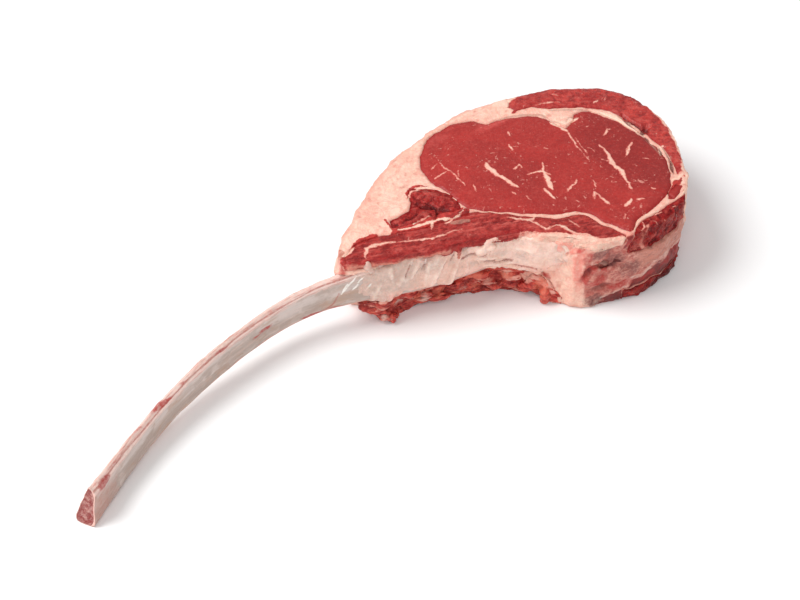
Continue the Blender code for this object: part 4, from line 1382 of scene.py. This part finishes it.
# Bundles of muscle fibre, or lobules of fat: lines between them, and a shade for each.
def makeGrainGroup():
    tree, given, made = newGroup(
        "meatGrain",
        {"Bundle Size": 1.6, "Stretch": (1, 1, 1)},
        {"Line": "Float", "Shade": "Float", "Height": "Float"},
    )
    where = stretched(tree, bent(tree, millimetres(tree), 4, 3.0), given["Stretch"])
    frequency = calculate(tree, "DIVIDE", 1.0, given["Bundle Size"])
    cells = put(tree, "TexVoronoi", {"feature": "DISTANCE_TO_EDGE"}, {"Vector": where, "Scale": frequency}).outputs[0]
    tone = put(tree, "TexVoronoi", {"feature": "F1"}, {"Vector": where, "Scale": frequency}).outputs["Color"]
    patchy = ease(tree, noiseOf(tree, millimetres(tree), 7, 3, 0.6), 0.42, 0.62)
    line = ease(tree, cells, 0.0, 0.13, 1.0, 0.0)
    tree.links.new(calculate(tree, "MULTIPLY", line, patchy), made["Line"])
    tree.links.new(put(tree, "SeparateColor", {}, {0: tone}).outputs[0], made["Shade"])
    tree.links.new(ease(tree, cells, 0.0, 0.3), made["Height"])


# Long soft threads of muscle, all lying one way.
def makeThreadGroup():
    tree, given, made = newGroup("muscleThreads", {"Turn": 0.0, "Stretch": (1, 1, 1)}, {"Threads": "Float"})
    where = turned(tree, bent(tree, millimetres(tree), 6, 2.4), given["Turn"])
    tree.links.new(noiseOf(tree, stretched(tree, where, given["Stretch"]), 1.0, 4, 0.6), made["Threads"])


# Specks and short threads of fat: thick in some places and rare in others.
def makeFleckGroup():
    tree, given, made = newGroup(
        "fatFlecks",
        {"Size": 1.6, "Level": 0.68, "Stretch": (1, 1, 1), "Turn": 0.0, "Seed": 0.0},
        {"Mask": "Float"},
    )
    where = stretched(tree, turned(tree, bent(tree, millimetres(tree), 5, 4.0), given["Turn"]), given["Stretch"])
    where = put(tree, "VectorMath", {"operation": "ADD"}, {0: where, 1: given["Seed"]}).outputs[0]
    speck = noiseOf(tree, where, given["Size"], 3, 0.6, 0.3)
    crowd = evenNoise(tree, millimetres(tree), 12, 2, 0.5)
    height = calculate(tree, "SUBTRACT", calculate(tree, "MULTIPLY_ADD", crowd, 0.22, speck), given["Level"])
    tree.links.new(ease(tree, height, 0.0, 0.035), made["Mask"])


# Painted shade: a tone that comes up where the surface lies low, or a painted highlight that comes up where it lies
# high, when End is below Start.
def makeReliefShadeAndHighlightGroup():
    tree, given, made = newGroup(
        "reliefShadeAndHighlight",
        {"Color": white, "Tone": white, "Start": 0.1, "End": 1.1, "Amount": 0.5},
        {"Color": "Color"},
    )
    share = ease(tree, mask(tree, "hollow"), given["Start"], given["End"], 0.0, given["Amount"])
    tree.links.new(mixColours(tree, share, given["Color"], given["Tone"]), made["Color"])


# Thin fat left on a wall of lean, which shows through where the film is thinnest.
def makeFilmGroup():
    tree, given, made = newGroup("thinFilm", {"Color": white, "Thick": white, "Thin": white}, {"Color": "Color"})
    fine = evenNoise(tree, millimetres(tree), 2.4, 6, 0.75)
    depth = calculate(tree, "MULTIPLY_ADD", fine, 0.9, mask(tree, "film"))
    tone = mixColours(tree, ease(tree, depth, 0.0, 0.36), given["Thin"], given["Thick"])
    share = ease(tree, depth, -0.3, 0.2, 0.0, 0.85)
    tree.links.new(mixColours(tree, share, given["Color"], tone), made["Color"])


# Lays the marks kept on the mesh over a colour: marbling, silverskin, blood and pale skin, with painted shade in
# openings and shaded places, and on the rib's skin painted shade and highlights in its valleys and on its ridges.
def makeMarksGroup():
    tree, given, made = newGroup(
        "fleshMarks",
        {"Color": white, "Fat": light(242, 200, 182), "Fat Edge": light(222, 126, 112),
         "Silver": light(178, 134, 118), "Pale": light(226, 196, 184), "Blood": light(160, 36, 34),
         "Cleft": light(80, 16, 18), "Edge Wobble": 2.0},
        {"Color": "Color", "Fat Mask": "Float"},
    )
    where = millimetres(tree)
    fine = evenNoise(tree, where, 1.5, 5, 0.75)
    depth = calculate(tree, "MULTIPLY_ADD", fine, given["Edge Wobble"], mask(tree, "fat"))
    fatMask = ease(tree, depth, -0.3, 0.2)
    fullest = ease(tree, noiseOf(tree, where, 2.6, 4, 0.6), 0.3, 0.6, 0.55, 1.0)
    fatTone = mixColours(tree, ease(tree, depth, -0.1, 0.8, 0.0, fullest), given["Fat Edge"], given["Fat"])
    grainy = ease(tree, noiseOf(tree, where, 1.3, 5, 0.7), 0.5, 0.68, 0.0, 0.5)
    fatTone = mixColours(tree, grainy, fatTone, given["Fat Edge"])
    colour = mixColours(tree, fatMask, given["Color"], fatTone)
    for name, label, size, tear, strength in (
        ("silver", "Silver", 2.0, 1.6, 0.7),
        ("pale", "Pale", 4.0, 2.0, 0.8),
        ("red", "Blood", 3.0, 1.5, 0.85),
        # the dark mask lays painted shade, in the cleft tone
        ("dark", "Cleft", 2.4, 1.4, 0.96),
    ):
        inputs = {"Mask": mask(tree, name), "Size": size, "Tear": tear, "Softness": 0.42, "Strength": strength}
        colour = mixColours(tree, useGroup(tree, "tornStain", inputs)["Mask"], colour, given[label])
    tree.links.new(colour, made["Color"])
    tree.links.new(fatMask, made["Fat Mask"])


for makeGroup in (
    makeMottleGroup, makeStainGroup, makeGrainGroup, makeThreadGroup, makeFleckGroup, makeReliefShadeAndHighlightGroup, makeFilmGroup,
    makeMarksGroup,
):
    makeGroup()
print("built", len(groups), "shader groups")


def newMaterial(name):
    material = bpy.data.materials.new(name)
    material.use_nodes = True
    tree = material.node_tree
    return material, tree, tree.nodes["Principled BSDF"]


def mottled(tree, look):
    return useGroup(tree, "fleshMottle", {
        "Tone A": light(*look["toneA"]), "Tone B": light(*look["toneB"]), "Patch Size": look["patch"],
        "Mottle Size": look["mottleSize"], "Mottle": look["mottle"],
    })["Color"]


def addStain(tree, colour, name, tone, size=4.0, tear=2.4, softness=0.3, strength=0.9):
    inputs = {"Mask": mask(tree, name), "Size": size, "Tear": tear, "Softness": softness, "Strength": strength}
    return tinted(tree, colour, useGroup(tree, "tornStain", inputs)["Mask"], tone)


# Lays painted shade in the low places of the surface, or a painted highlight on its high ones.
def paintReliefShadeAndHighlight(tree, colour, tone, start, end, amount):
    inputs = {"Color": colour, "Tone": light(*tone), "Start": start, "End": end, "Amount": amount}
    return useGroup(tree, "reliefShadeAndHighlight", inputs)["Color"]


# Joins a colour, a roughness and a height in mm to a shader, and sets how light goes into the surface.
def finish(tree, shader, look, colour, roughness, height, strength):
    tree.links.new(colour, shader.inputs["Base Color"])
    tree.links.new(roughness, shader.inputs["Roughness"])
    bump = put(tree, "Bump", {}, {"Height": height, "Distance": look["bump"] * mm, "Strength": strength})
    tree.links.new(bump.outputs[0], shader.inputs["Normal"])
    feed(tree, shader, {
        "Subsurface Weight": look["soft"], "Subsurface Radius": look["softColour"],
        "Subsurface Scale": look["softDepth"] * mm,
        "Coat Weight": look["wet"], "Coat Roughness": look["wetRough"], "Specular IOR Level": look["shine"],
    })


def leanMaterial(name, look):
    material, tree, shader = newMaterial(name)
    where = millimetres(tree)
    colour = mottled(tree, look)
    grain = useGroup(tree, "meatGrain", {"Bundle Size": look["bundle"], "Stretch": look["stretch"]})
    colour = tinted(tree, colour, calculate(tree, "MULTIPLY", grain["Shade"], look["shade"]), look["deep"])
    threads = useGroup(tree, "muscleThreads", {"Turn": look["threadTurn"], "Stretch": look["threadStretch"]})["Threads"]
    colour = tinted(tree, colour, ease(tree, threads, 0.5, 0.72, 0.0, look["threads"]), look["lineTone"])
    colour = tinted(tree, colour, ease(tree, threads, 0.5, 0.3, 0.0, look["threads"]), look["deep"])
    colour = tinted(tree, colour, calculate(tree, "MULTIPLY", grain["Line"], look["line"]), look["lineTone"])
    for tint in ("dull", "bloom"):
        if tint in look:
            colour = addStain(tree, colour, tint, look[tint], 3.0, 1.6, 0.5, 0.8)
    dust = useGroup(tree, "fatFlecks", {"Size": 1.6, "Level": 0.61, "Turn": 0.6})["Mask"]
    colour = tinted(tree, colour, calculate(tree, "MULTIPLY", dust, look["dust"]), look["dustTone"])
    for turn, seed in ((0.5, 31.0), (-0.75, 67.0)):
        fleck = useGroup(tree, "fatFlecks", {
            "Size": look["fleckSize"], "Level": look["fleckLevel"], "Stretch": look["fleckStretch"], "Turn": turn,
            "Seed": seed,
        })["Mask"]
        colour = tinted(tree, colour, calculate(tree, "MULTIPLY", fleck, look["fleck"]), look["fleckTone"])
    # Painted shade in the low places, in the deep tone, and a painted highlight on the high places, in the lighter line
    # tone.
    colour = paintReliefShadeAndHighlight(tree, colour, look["deep"], 0.1, 1.1, look["hollow"])
    colour = paintReliefShadeAndHighlight(tree, colour, look["lineTone"], -0.2, -1.2, look["hollow"] * 0.5)
    edge = calculate(tree, "MULTIPLY_ADD", threads, 1.5, mask(tree, "border"))
    colour = tinted(tree, colour, ease(tree, edge, 0.9, 3.0, look["edge"], 0.0), look["edgeTone"])
    marks = useGroup(tree, "fleshMarks", {"Color": colour, "Fat": light(*look["fat"]), "Pale": light(*look["pale"])})
    colour = marks["Color"]
    if "orange" in look:
        colour = addStain(tree, colour, "orange", look["orange"], 3.0, 1.8)
    if "film" in look:
        inputs = {"Color": colour, "Thick": light(*look["film"]), "Thin": light(*look["filmThin"])}
        colour = useGroup(tree, "thinFilm", inputs)["Color"]
    patchy = noiseOf(tree, where, 3.5, 4, 0.6)
    roughness = ease(tree, patchy, 0.3, 0.7, look["rough"] - 0.12, look["rough"] + 0.12)
    height = calculate(tree, "MULTIPLY_ADD", grain["Height"], look["grainHeight"], noiseOf(tree, where, 0.9, 4, 0.6))
    height = calculate(tree, "MULTIPLY_ADD", threads, look["threads"] * 2, height)
    height = calculate(tree, "MULTIPLY_ADD", marks["Fat Mask"], 0.5, height)
    finish(tree, shader, look, colour, roughness, height, 0.9)
    return material


leanBase = {
    "toneA": (177, 47, 42), "toneB": (160, 42, 38), "deep": (144, 30, 28),
    "patch": 26, "mottleSize": 1.8, "mottle": 0.55,
    "bundle": 2.3, "stretch": (1, 1, 0.12), "shade": 0.22, "line": 0.12, "lineTone": (204, 96, 86),
    "threads": 0.16, "threadStretch": (0.6, 0.6, 0.1), "threadTurn": 0.0,
    "fleckSize": 2.8, "fleckLevel": 0.66, "fleckStretch": (0.8, 1.4, 0.1), "fleck": 0.7, "fleckTone": (222, 148, 134),
    # hollow is how strong the painted shade in the low places is; half of it is a painted highlight on the high places.
    "dust": 0.4, "dustTone": (198, 92, 84), "hollow": 0.3,
    "fat": (238, 198, 178), "pale": (220, 176, 166), "edge": 0.5, "edgeTone": (150, 20, 22),
    "rough": 0.44, "grainHeight": 0.35, "bump": 0.2, "wet": 0.05, "wetRough": 0.2, "shine": 0.3,
    "soft": 0.08, "softColour": (1, 0.2, 0.15), "softDepth": 1.2,
}
leanLooks = {
    "eyeMuscle": {"dull": (134, 32, 30), "bloom": (206, 84, 78), "dust": 0.28, "fleckLevel": 0.675},
    "smallMuscle": {"toneA": (165, 42, 38), "dust": 0.2, "fleck": 0.4},
    "capMuscle": {
        "toneA": (200, 62, 54), "toneB": (168, 40, 36), "deep": (126, 24, 24), "patch": 8, "mottle": 0.7,
        "bundle": 2.6, "shade": 0.3, "threads": 0.55, "threadStretch": (0.16, 0.5, 0.4), "threadTurn": 0.75,
        "film": (242, 194, 174), "filmThin": (208, 104, 90), "fleckLevel": 0.68, "pale": (226, 160, 140),
        "hollow": 0.7, "bump": 0.4, "rough": 0.38, "wet": 0.1,
    },
    "ribStrip": {
        "toneA": (184, 58, 52), "toneB": (146, 34, 32), "deep": (108, 18, 19), "patch": 5, "mottle": 0.9,
        "bundle": 1.5, "stretch": (0.3, 0.8, 0.6),
        "threads": 0.85, "threadStretch": (0.07, 0.55, 0.5), "threadTurn": 0.42,
        "fleckStretch": (0.25, 1.2, 0.9), "fleckLevel": 0.7, "dust": 0.25, "pale": (228, 150, 130),
        "hollow": 0.55, "bump": 0.42, "rough": 0.34, "wet": 0.06, "shine": 0.2,
    },
    "lipMuscle": {
        "toneA": (176, 40, 36), "toneB": (128, 20, 20), "deep": (84, 8, 11), "patch": 4, "mottle": 1.0,
        "bundle": 2, "threads": 0.6, "threadStretch": (0.35, 0.5, 0.4), "fleckLevel": 0.76, "dust": 0.25,
        "hollow": 0.8, "bump": 0.5, "rough": 0.34, "wet": 0.05, "shine": 0.15,
    },
    "chineMuscle": {
        "toneA": (158, 26, 26), "toneB": (112, 12, 15), "deep": (72, 5, 8), "patch": 3.5, "mottle": 1.0,
        "bundle": 3.4, "line": 0.4, "lineTone": (204, 88, 76), "stretch": (0.8, 1, 0.4),
        "threads": 0.5, "threadStretch": (0.8, 0.8, 0.28), "dust": 0.1, "fleckLevel": 0.72, "pale": (234, 158, 140),
        "film": (222, 158, 138), "filmThin": (186, 90, 78),
        "hollow": 0.7, "bump": 0.5, "rough": 0.32, "wet": 0.04, "shine": 0.12,
    },
    "raggedMeat": {
        "toneA": (224, 88, 74), "toneB": (182, 50, 46), "deep": (116, 22, 23), "patch": 4, "mottle": 1.0,
        "bundle": 1.8, "stretch": (0.35, 0.5, 1.2), "line": 0.2, "lineTone": (228, 120, 100),
        "threads": 0.95, "threadStretch": (0.2, 0.32, 1.1), "fleckStretch": (0.3, 0.6, 1.4), "fleckLevel": 0.68,
        "dust": 0.2, "edge": 0.0, "pale": (232, 196, 180), "orange": (230, 122, 100), "fat": (236, 176, 158),
        "hollow": 0.6, "bump": 0.5, "rough": 0.3, "wet": 0.06, "shine": 0.2,
    },
}


# Lean smeared over the fat where it was torn from the backbone.
def addSmears(tree, where, colour, look):
    strands = noiseOf(tree, stretched(tree, bent(tree, where, 6, 5), (0.22, 0.22, 0.85)), 1.0, 6, 0.68)
    raw = ease(tree, mask(tree, "rawWall"), 0.3, 0.9)
    for start, end, amount, tone in ((0.5, 0.66, 0.5, "smear"), (0.46, 0.32, 0.45, "smearPale")):
        share = calculate(tree, "MULTIPLY", raw, ease(tree, strands, start, end, 0.0, amount))
        colour = tinted(tree, colour, share, look[tone])
    return colour


# Lean that runs on over the fat, and the brown seam below it on the outside.
def addLeanOverFat(tree, where, colour, look):
    depth = calculate(tree, "MULTIPLY_ADD", evenNoise(tree, where, 1.5, 5, 0.75), 2.0, mask(tree, "lean"))
    fibre = noiseOf(tree, stretched(tree, bent(tree, where, 5, 4), (0.35, 0.9, 0.5)), 1.0, 5, 0.65)
    fibre = ease(tree, fibre, 0.36, 0.64)
    leanTone = mixColours(tree, fibre, light(*look["leanDeep"]), light(*look["lean"]))
    capTone = mixColours(tree, fibre, light(*look["leanCapDeep"]), light(*look["leanCap"]))
    leanTone = mixColours(tree, ease(tree, mask(tree, "nearCap"), 0.0, 1.0), leanTone, capTone)
    colour = mixColours(tree, ease(tree, depth, -0.3, 0.2), colour, leanTone)
    return addStain(tree, colour, "brown", look["brown"], 3.0, 1.6, 0.4, 0.85)


# Fat: cream lobules under a pink bloom, with what is torn or dried on it where the look names those.
def fatMaterial(name, look):
    material, tree, shader = newMaterial(name)
    where = millimetres(tree)
    colour = mottled(tree, look)
    grain = useGroup(tree, "meatGrain", {"Bundle Size": look["lobule"]})
    colour = tinted(tree, colour, calculate(tree, "MULTIPLY", grain["Line"], look["line"]), look["pink"])
    for size, width, strength in ((11, 0.035, 0.4), (5, 0.03, 0.25)):
        ridge = calculate(tree, "ABSOLUTE", evenNoise(tree, where, size, 4, 0.6, 0.8))
        share = ease(tree, ridge, 0.0, width, strength * look["veins"], 0.0)
        colour = tinted(tree, colour, share, look["pink"])
    edge = ease(tree, mask(tree, "border"), 0.2, 2.0, look["edge"], 0.0)
    colour = tinted(tree, colour, edge, look["edgeTone"])
    # Painted shade in the low places, in pink.
    colour = paintReliefShadeAndHighlight(tree, colour, look["pink"], 0.1, 1.2, 0.5)
    for stain, size, tear, softness, strength in look["stains"]:
        colour = addStain(tree, colour, stain, look[stain], size, tear, softness, strength)
    if "smear" in look:
        colour = addSmears(tree, where, colour, look)
    # Darker painted shade deep in the low places, in the cleft tone.
    colour = paintReliefShadeAndHighlight(tree, colour, look["cleft"], 0.5, 2.2, 0.6)
    if "lean" in look:
        colour = addStain(tree, colour, "tanned", look["tanned"], 3.0, 1.4, 0.4, 0.85)
        colour = addLeanOverFat(tree, where, colour, look)
    colour = useGroup(tree, "fleshMarks", {
        "Color": colour, "Fat": light(*look["toneA"]), "Fat Edge": light(*look["toneB"]),
        **{label: light(*look[label.lower()]) for label in ("Pale", "Blood", "Cleft", "Silver")},
    })["Color"]
    roughness = ease(tree, noiseOf(tree, where, 4, 4, 0.65), 0.3, 0.7, look["rough"] - 0.1, look["rough"] + 0.1)
    height = calculate(tree, "ADD", noiseOf(tree, where, 1.1, 5, 0.6), noiseOf(tree, where, 4.5, 2, 0.5))
    height = calculate(tree, "MULTIPLY_ADD", grain["Height"], look["line"], height)
    finish(tree, shader, look, colour, roughness, height, 0.8)
    return material


fatBase = {
    "mottleSize": 1.8, "lobule": 3.2, "edgeTone": (222, 156, 140), "blood": (182, 48, 42),
    "soft": 0.2, "softColour": (1, 0.45, 0.3), "softDepth": 1.8, "wetRough": 0.25, "shine": 0.35,
}
fatFinish = {
    **fatBase,
    "toneA": (246, 204, 184), "toneB": (234, 184, 164), "patch": 8, "mottle": 0.7, "line": 0.2, "veins": 1.0,
    # pink also lays the painted shade in shallow low places, and cleft the painted shade in deep ones and in openings.
    "edge": 0.55, "pink": (226, 144, 128), "bloom": (234, 116, 104), "rawWall": (178, 80, 68),
    "mauve": (130, 80, 74), "tan": (198, 130, 112), "smear": (122, 42, 40), "smearPale": (218, 142, 126),
    "lean": (178, 46, 40), "leanDeep": (124, 24, 24), "leanCap": (200, 62, 54), "leanCapDeep": (152, 34, 31),
    "tanned": (170, 92, 76), "brown": (104, 46, 42), "pale": (240, 214, 198), "cleft": (92, 14, 13),
    "silver": (178, 134, 118), "bump": 0.32, "rough": 0.46, "wet": 0.06,
    "stains": [  # mask, size, tear, softness, strength
        ("bloom", 5, 1.6, 0.5, 0.7),
        ("rawWall", 5, 1.3, 0.4, 0.95),
        ("tan", 5, 1.4, 0.3, 0.95),
        ("mauve", 4, 1.8, 0.4, 0.9),
    ],
}
membraneFinish = {
    **fatBase,
    "toneA": (246, 208, 192), "toneB": (230, 186, 168), "patch": 12, "mottle": 0.5, "line": 0.06, "veins": 0.5,
    # pink and cleft lay the painted shade in the valleys of the skin, and pale also lays its painted highlights on the
    # ridges.
    "edge": 0.0, "pink": (214, 160, 142), "bloom": (242, 164, 148), "pale": (250, 228, 214), "cleft": (156, 84, 72),
    "silver": (192, 170, 158), "bump": 0.5, "rough": 0.3, "wet": 0.2, "stains": [("bloom", 4, 1.2, 0.5, 0.85)],
}

boneFinish = {
    "face": (210, 194, 187), "faceDeep": (176, 155, 144), "warm": (184, 150, 130), "streak": (160, 132, 122),
    "crest": (230, 198, 187), "crestPink": (202, 128, 116), "rim": (230, 186, 174),
    "marrow": (150, 42, 37), "marrowDeep": (120, 26, 25),
    "bump": 0.3, "rough": 0.3, "wet": 0.1, "wetRough": 0.25, "shine": 0.4,
    "soft": 0.12, "softColour": (1, 0.6, 0.45), "softDepth": 1.5,
    "nearCutStain": ((196, 134, 120), 10.0, 2.6, 0.4, 0.6),  # tone, size, tear, softness, strength
    "stains": [  # mask, tone, size, tear, softness, strength
        ("ridge", (244, 216, 206), 5.0, 1.2, 0.3, 0.8),
        ("redLine", (176, 92, 80), 7.0, 2.2, 0.3, 0.75),
        ("lowEdge", (210, 150, 134), 8.0, 2.6, 0.35, 0.8),
        ("vein", (176, 92, 80), 5.0, 1.2, 0.4, 0.8),
        ("red", (170, 48, 44), 3.0, 1.8, 0.4, 0.9),
        # white knife scrapes, partly painted highlights for wet glints
        ("scrapeAndGlint", (252, 246, 238), 1.6, 0.9, 0.25, 0.95),
    ],
}


def boneMaterial(look):
    material, tree, shader = newMaterial("ribBone")
    alongBone = put(tree, "CombineXYZ", {}, {0: mask(tree, "along"), 1: mask(tree, "around"), 2: 0.0}).outputs[0]
    where = millimetres(tree)
    swayed = bent(tree, alongBone, 16, 4)
    stripe = noiseOf(tree, stretched(tree, swayed, (0.022, 0.16, 1)), 1.0, 5, 0.55)
    fine = noiseOf(tree, stretched(tree, swayed, (0.06, 0.7, 1)), 1.0, 4, 0.6)
    patches = noiseOf(tree, stretched(tree, swayed, (0.03, 0.11, 1)), 1.0, 4, 0.6)
    thin = noiseOf(tree, stretched(tree, alongBone, (0.08, 0.9, 1)), 1.0, 5, 0.7)
    tone = calculate(tree, "MULTIPLY_ADD", calculate(tree, "SUBTRACT", stripe, 0.5), 3.4, mask(tree, "tone"))
    colour = mixColours(tree, ease(tree, tone, 0.0, 1.1), light(*look["faceDeep"]), light(*look["face"]))
    colour = tinted(tree, colour, ease(tree, patches, 0.5, 0.68, 0.0, 0.75), look["warm"])
    colour = tinted(tree, colour, ease(tree, fine, 0.54, 0.68, 0.0, 0.25), look["crest"])
    colour = tinted(tree, colour, ease(tree, fine, 0.42, 0.28, 0.0, 0.35), look["streak"])
    colour = addStain(tree, colour, "nearCut", *look["nearCutStain"])
    crestTone = mixColours(tree, ease(tree, thin, 0.46, 0.68), light(*look["crest"]), light(*look["crestPink"]))
    inputs = {"Mask": mask(tree, "crest"), "Size": 7.0, "Tear": 2.2, "Softness": 0.35}
    colour = mixColours(tree, useGroup(tree, "tornStain", inputs)["Mask"], colour, crestTone)
    for name, *values in look["stains"]:
        colour = addStain(tree, colour, name, *values)
    pores = ease(tree, noiseOf(tree, where, 0.45, 3, 0.6), 0.34, 0.66)
    marrow = mixColours(tree, pores, light(*look["marrowDeep"]), light(*look["marrow"]))
    colour = tinted(tree, colour, mask(tree, "sawn"), look["rim"])
    inputs = {"Mask": mask(tree, "marrow"), "Size": 2.0, "Tear": 0.7, "Softness": 0.2}
    colour = mixColours(tree, useGroup(tree, "tornStain", inputs)["Mask"], colour, marrow)
    roughness = ease(tree, stripe, 0.3, 0.7, look["rough"], look["rough"] + 0.14)
    height = calculate(tree, "MULTIPLY_ADD", stripe, 1.2, noiseOf(tree, where, 0.9, 4, 0.6))
    finish(tree, shader, look, colour, roughness, height, 0.8)
    return material


finished = {name: leanMaterial(name, {**leanBase, **changes}) for name, changes in leanLooks.items()}
finished["fatBody"] = fatMaterial("beefFat", fatFinish)
finished["ribMembrane"] = fatMaterial("ribMembrane", membraneFinish)
finished["ribBone"] = boneMaterial(boneFinish)
for name, material in finished.items():
    pieces[name].data.materials.clear()
    pieces[name].data.materials.append(material)
print("finished the surfaces")


# Floor, light and camera.
studio = {
    "floorSize": 6.0,  # metres
    "floorTone": 0.95,
    "skyStrength": 0.55,
    "lamps": [  # name, place in metres, size, strength. The key lamp stands to the picture's left
        ("keyLamp", (-1.0, 0.6, 1.55), 1.1, 27.5),
        ("fillLamp", (-0.9, -1.1, 1.4), 1.4, 8.0),
    ],
}
viewpoint = {
    "target": (-0.095, 0.004, 0),  # metres
    "turn": -36,
    "rise": 46,
    "distance": 0.93,
    "lens": 76.5,
    "sensor": 36,
}


def makeFloor(look):
    half = look["floorSize"] / 2
    mesh = bpy.data.meshes.new("floor")
    mesh.from_pydata([(-half, -half, 0), (half, -half, 0), (half, half, 0), (-half, half, 0)], [], [range(4)])
    material, tree, shader = newMaterial("paleFloor")
    tone = look["floorTone"]
    feed(tree, shader, {"Base Color": (tone, tone, tone, 1), "Roughness": 0.9, "Specular IOR Level": 0.1})
    mesh.materials.append(material)
    newObject("floor", mesh)


def makeLamp(name, place, size, strength):
    lamp = bpy.data.lights.new(name, "AREA")
    lamp.shape = "DISK"
    lamp.size = size
    lamp.energy = strength
    rig = newObject(name, lamp)
    rig.location = place
    rig.rotation_euler = (-Vector(place)).to_track_quat("-Z", "Y").to_euler()


def makeCamera(look):
    turn, rise = math.radians(look["turn"]), math.radians(look["rise"])
    target = Vector(look["target"])
    away = Vector((math.sin(turn) * math.cos(rise), -math.cos(turn) * math.cos(rise), math.sin(rise)))
    camera = bpy.data.cameras.new("camera")
    camera.sensor_width = look["sensor"]
    camera.lens = look["lens"]
    rig = newObject("camera", camera)
    rig.location = target + look["distance"] * away
    rig.rotation_euler = (-away).to_track_quat("-Z", "Y").to_euler()
    bpy.context.scene.camera = rig


makeFloor(studio)
for name, place, size, strength in studio["lamps"]:
    makeLamp(name, place, size, strength)
makeCamera(viewpoint)
world = bpy.data.worlds.new("studio")
world.use_nodes = True
feed(world.node_tree, world.node_tree.nodes["Background"], {"Color": white, "Strength": studio["skyStrength"]})
bpy.context.scene.world = world
bpy.context.scene.view_settings.view_transform = "Standard"
print("placed the floor, lights and camera")
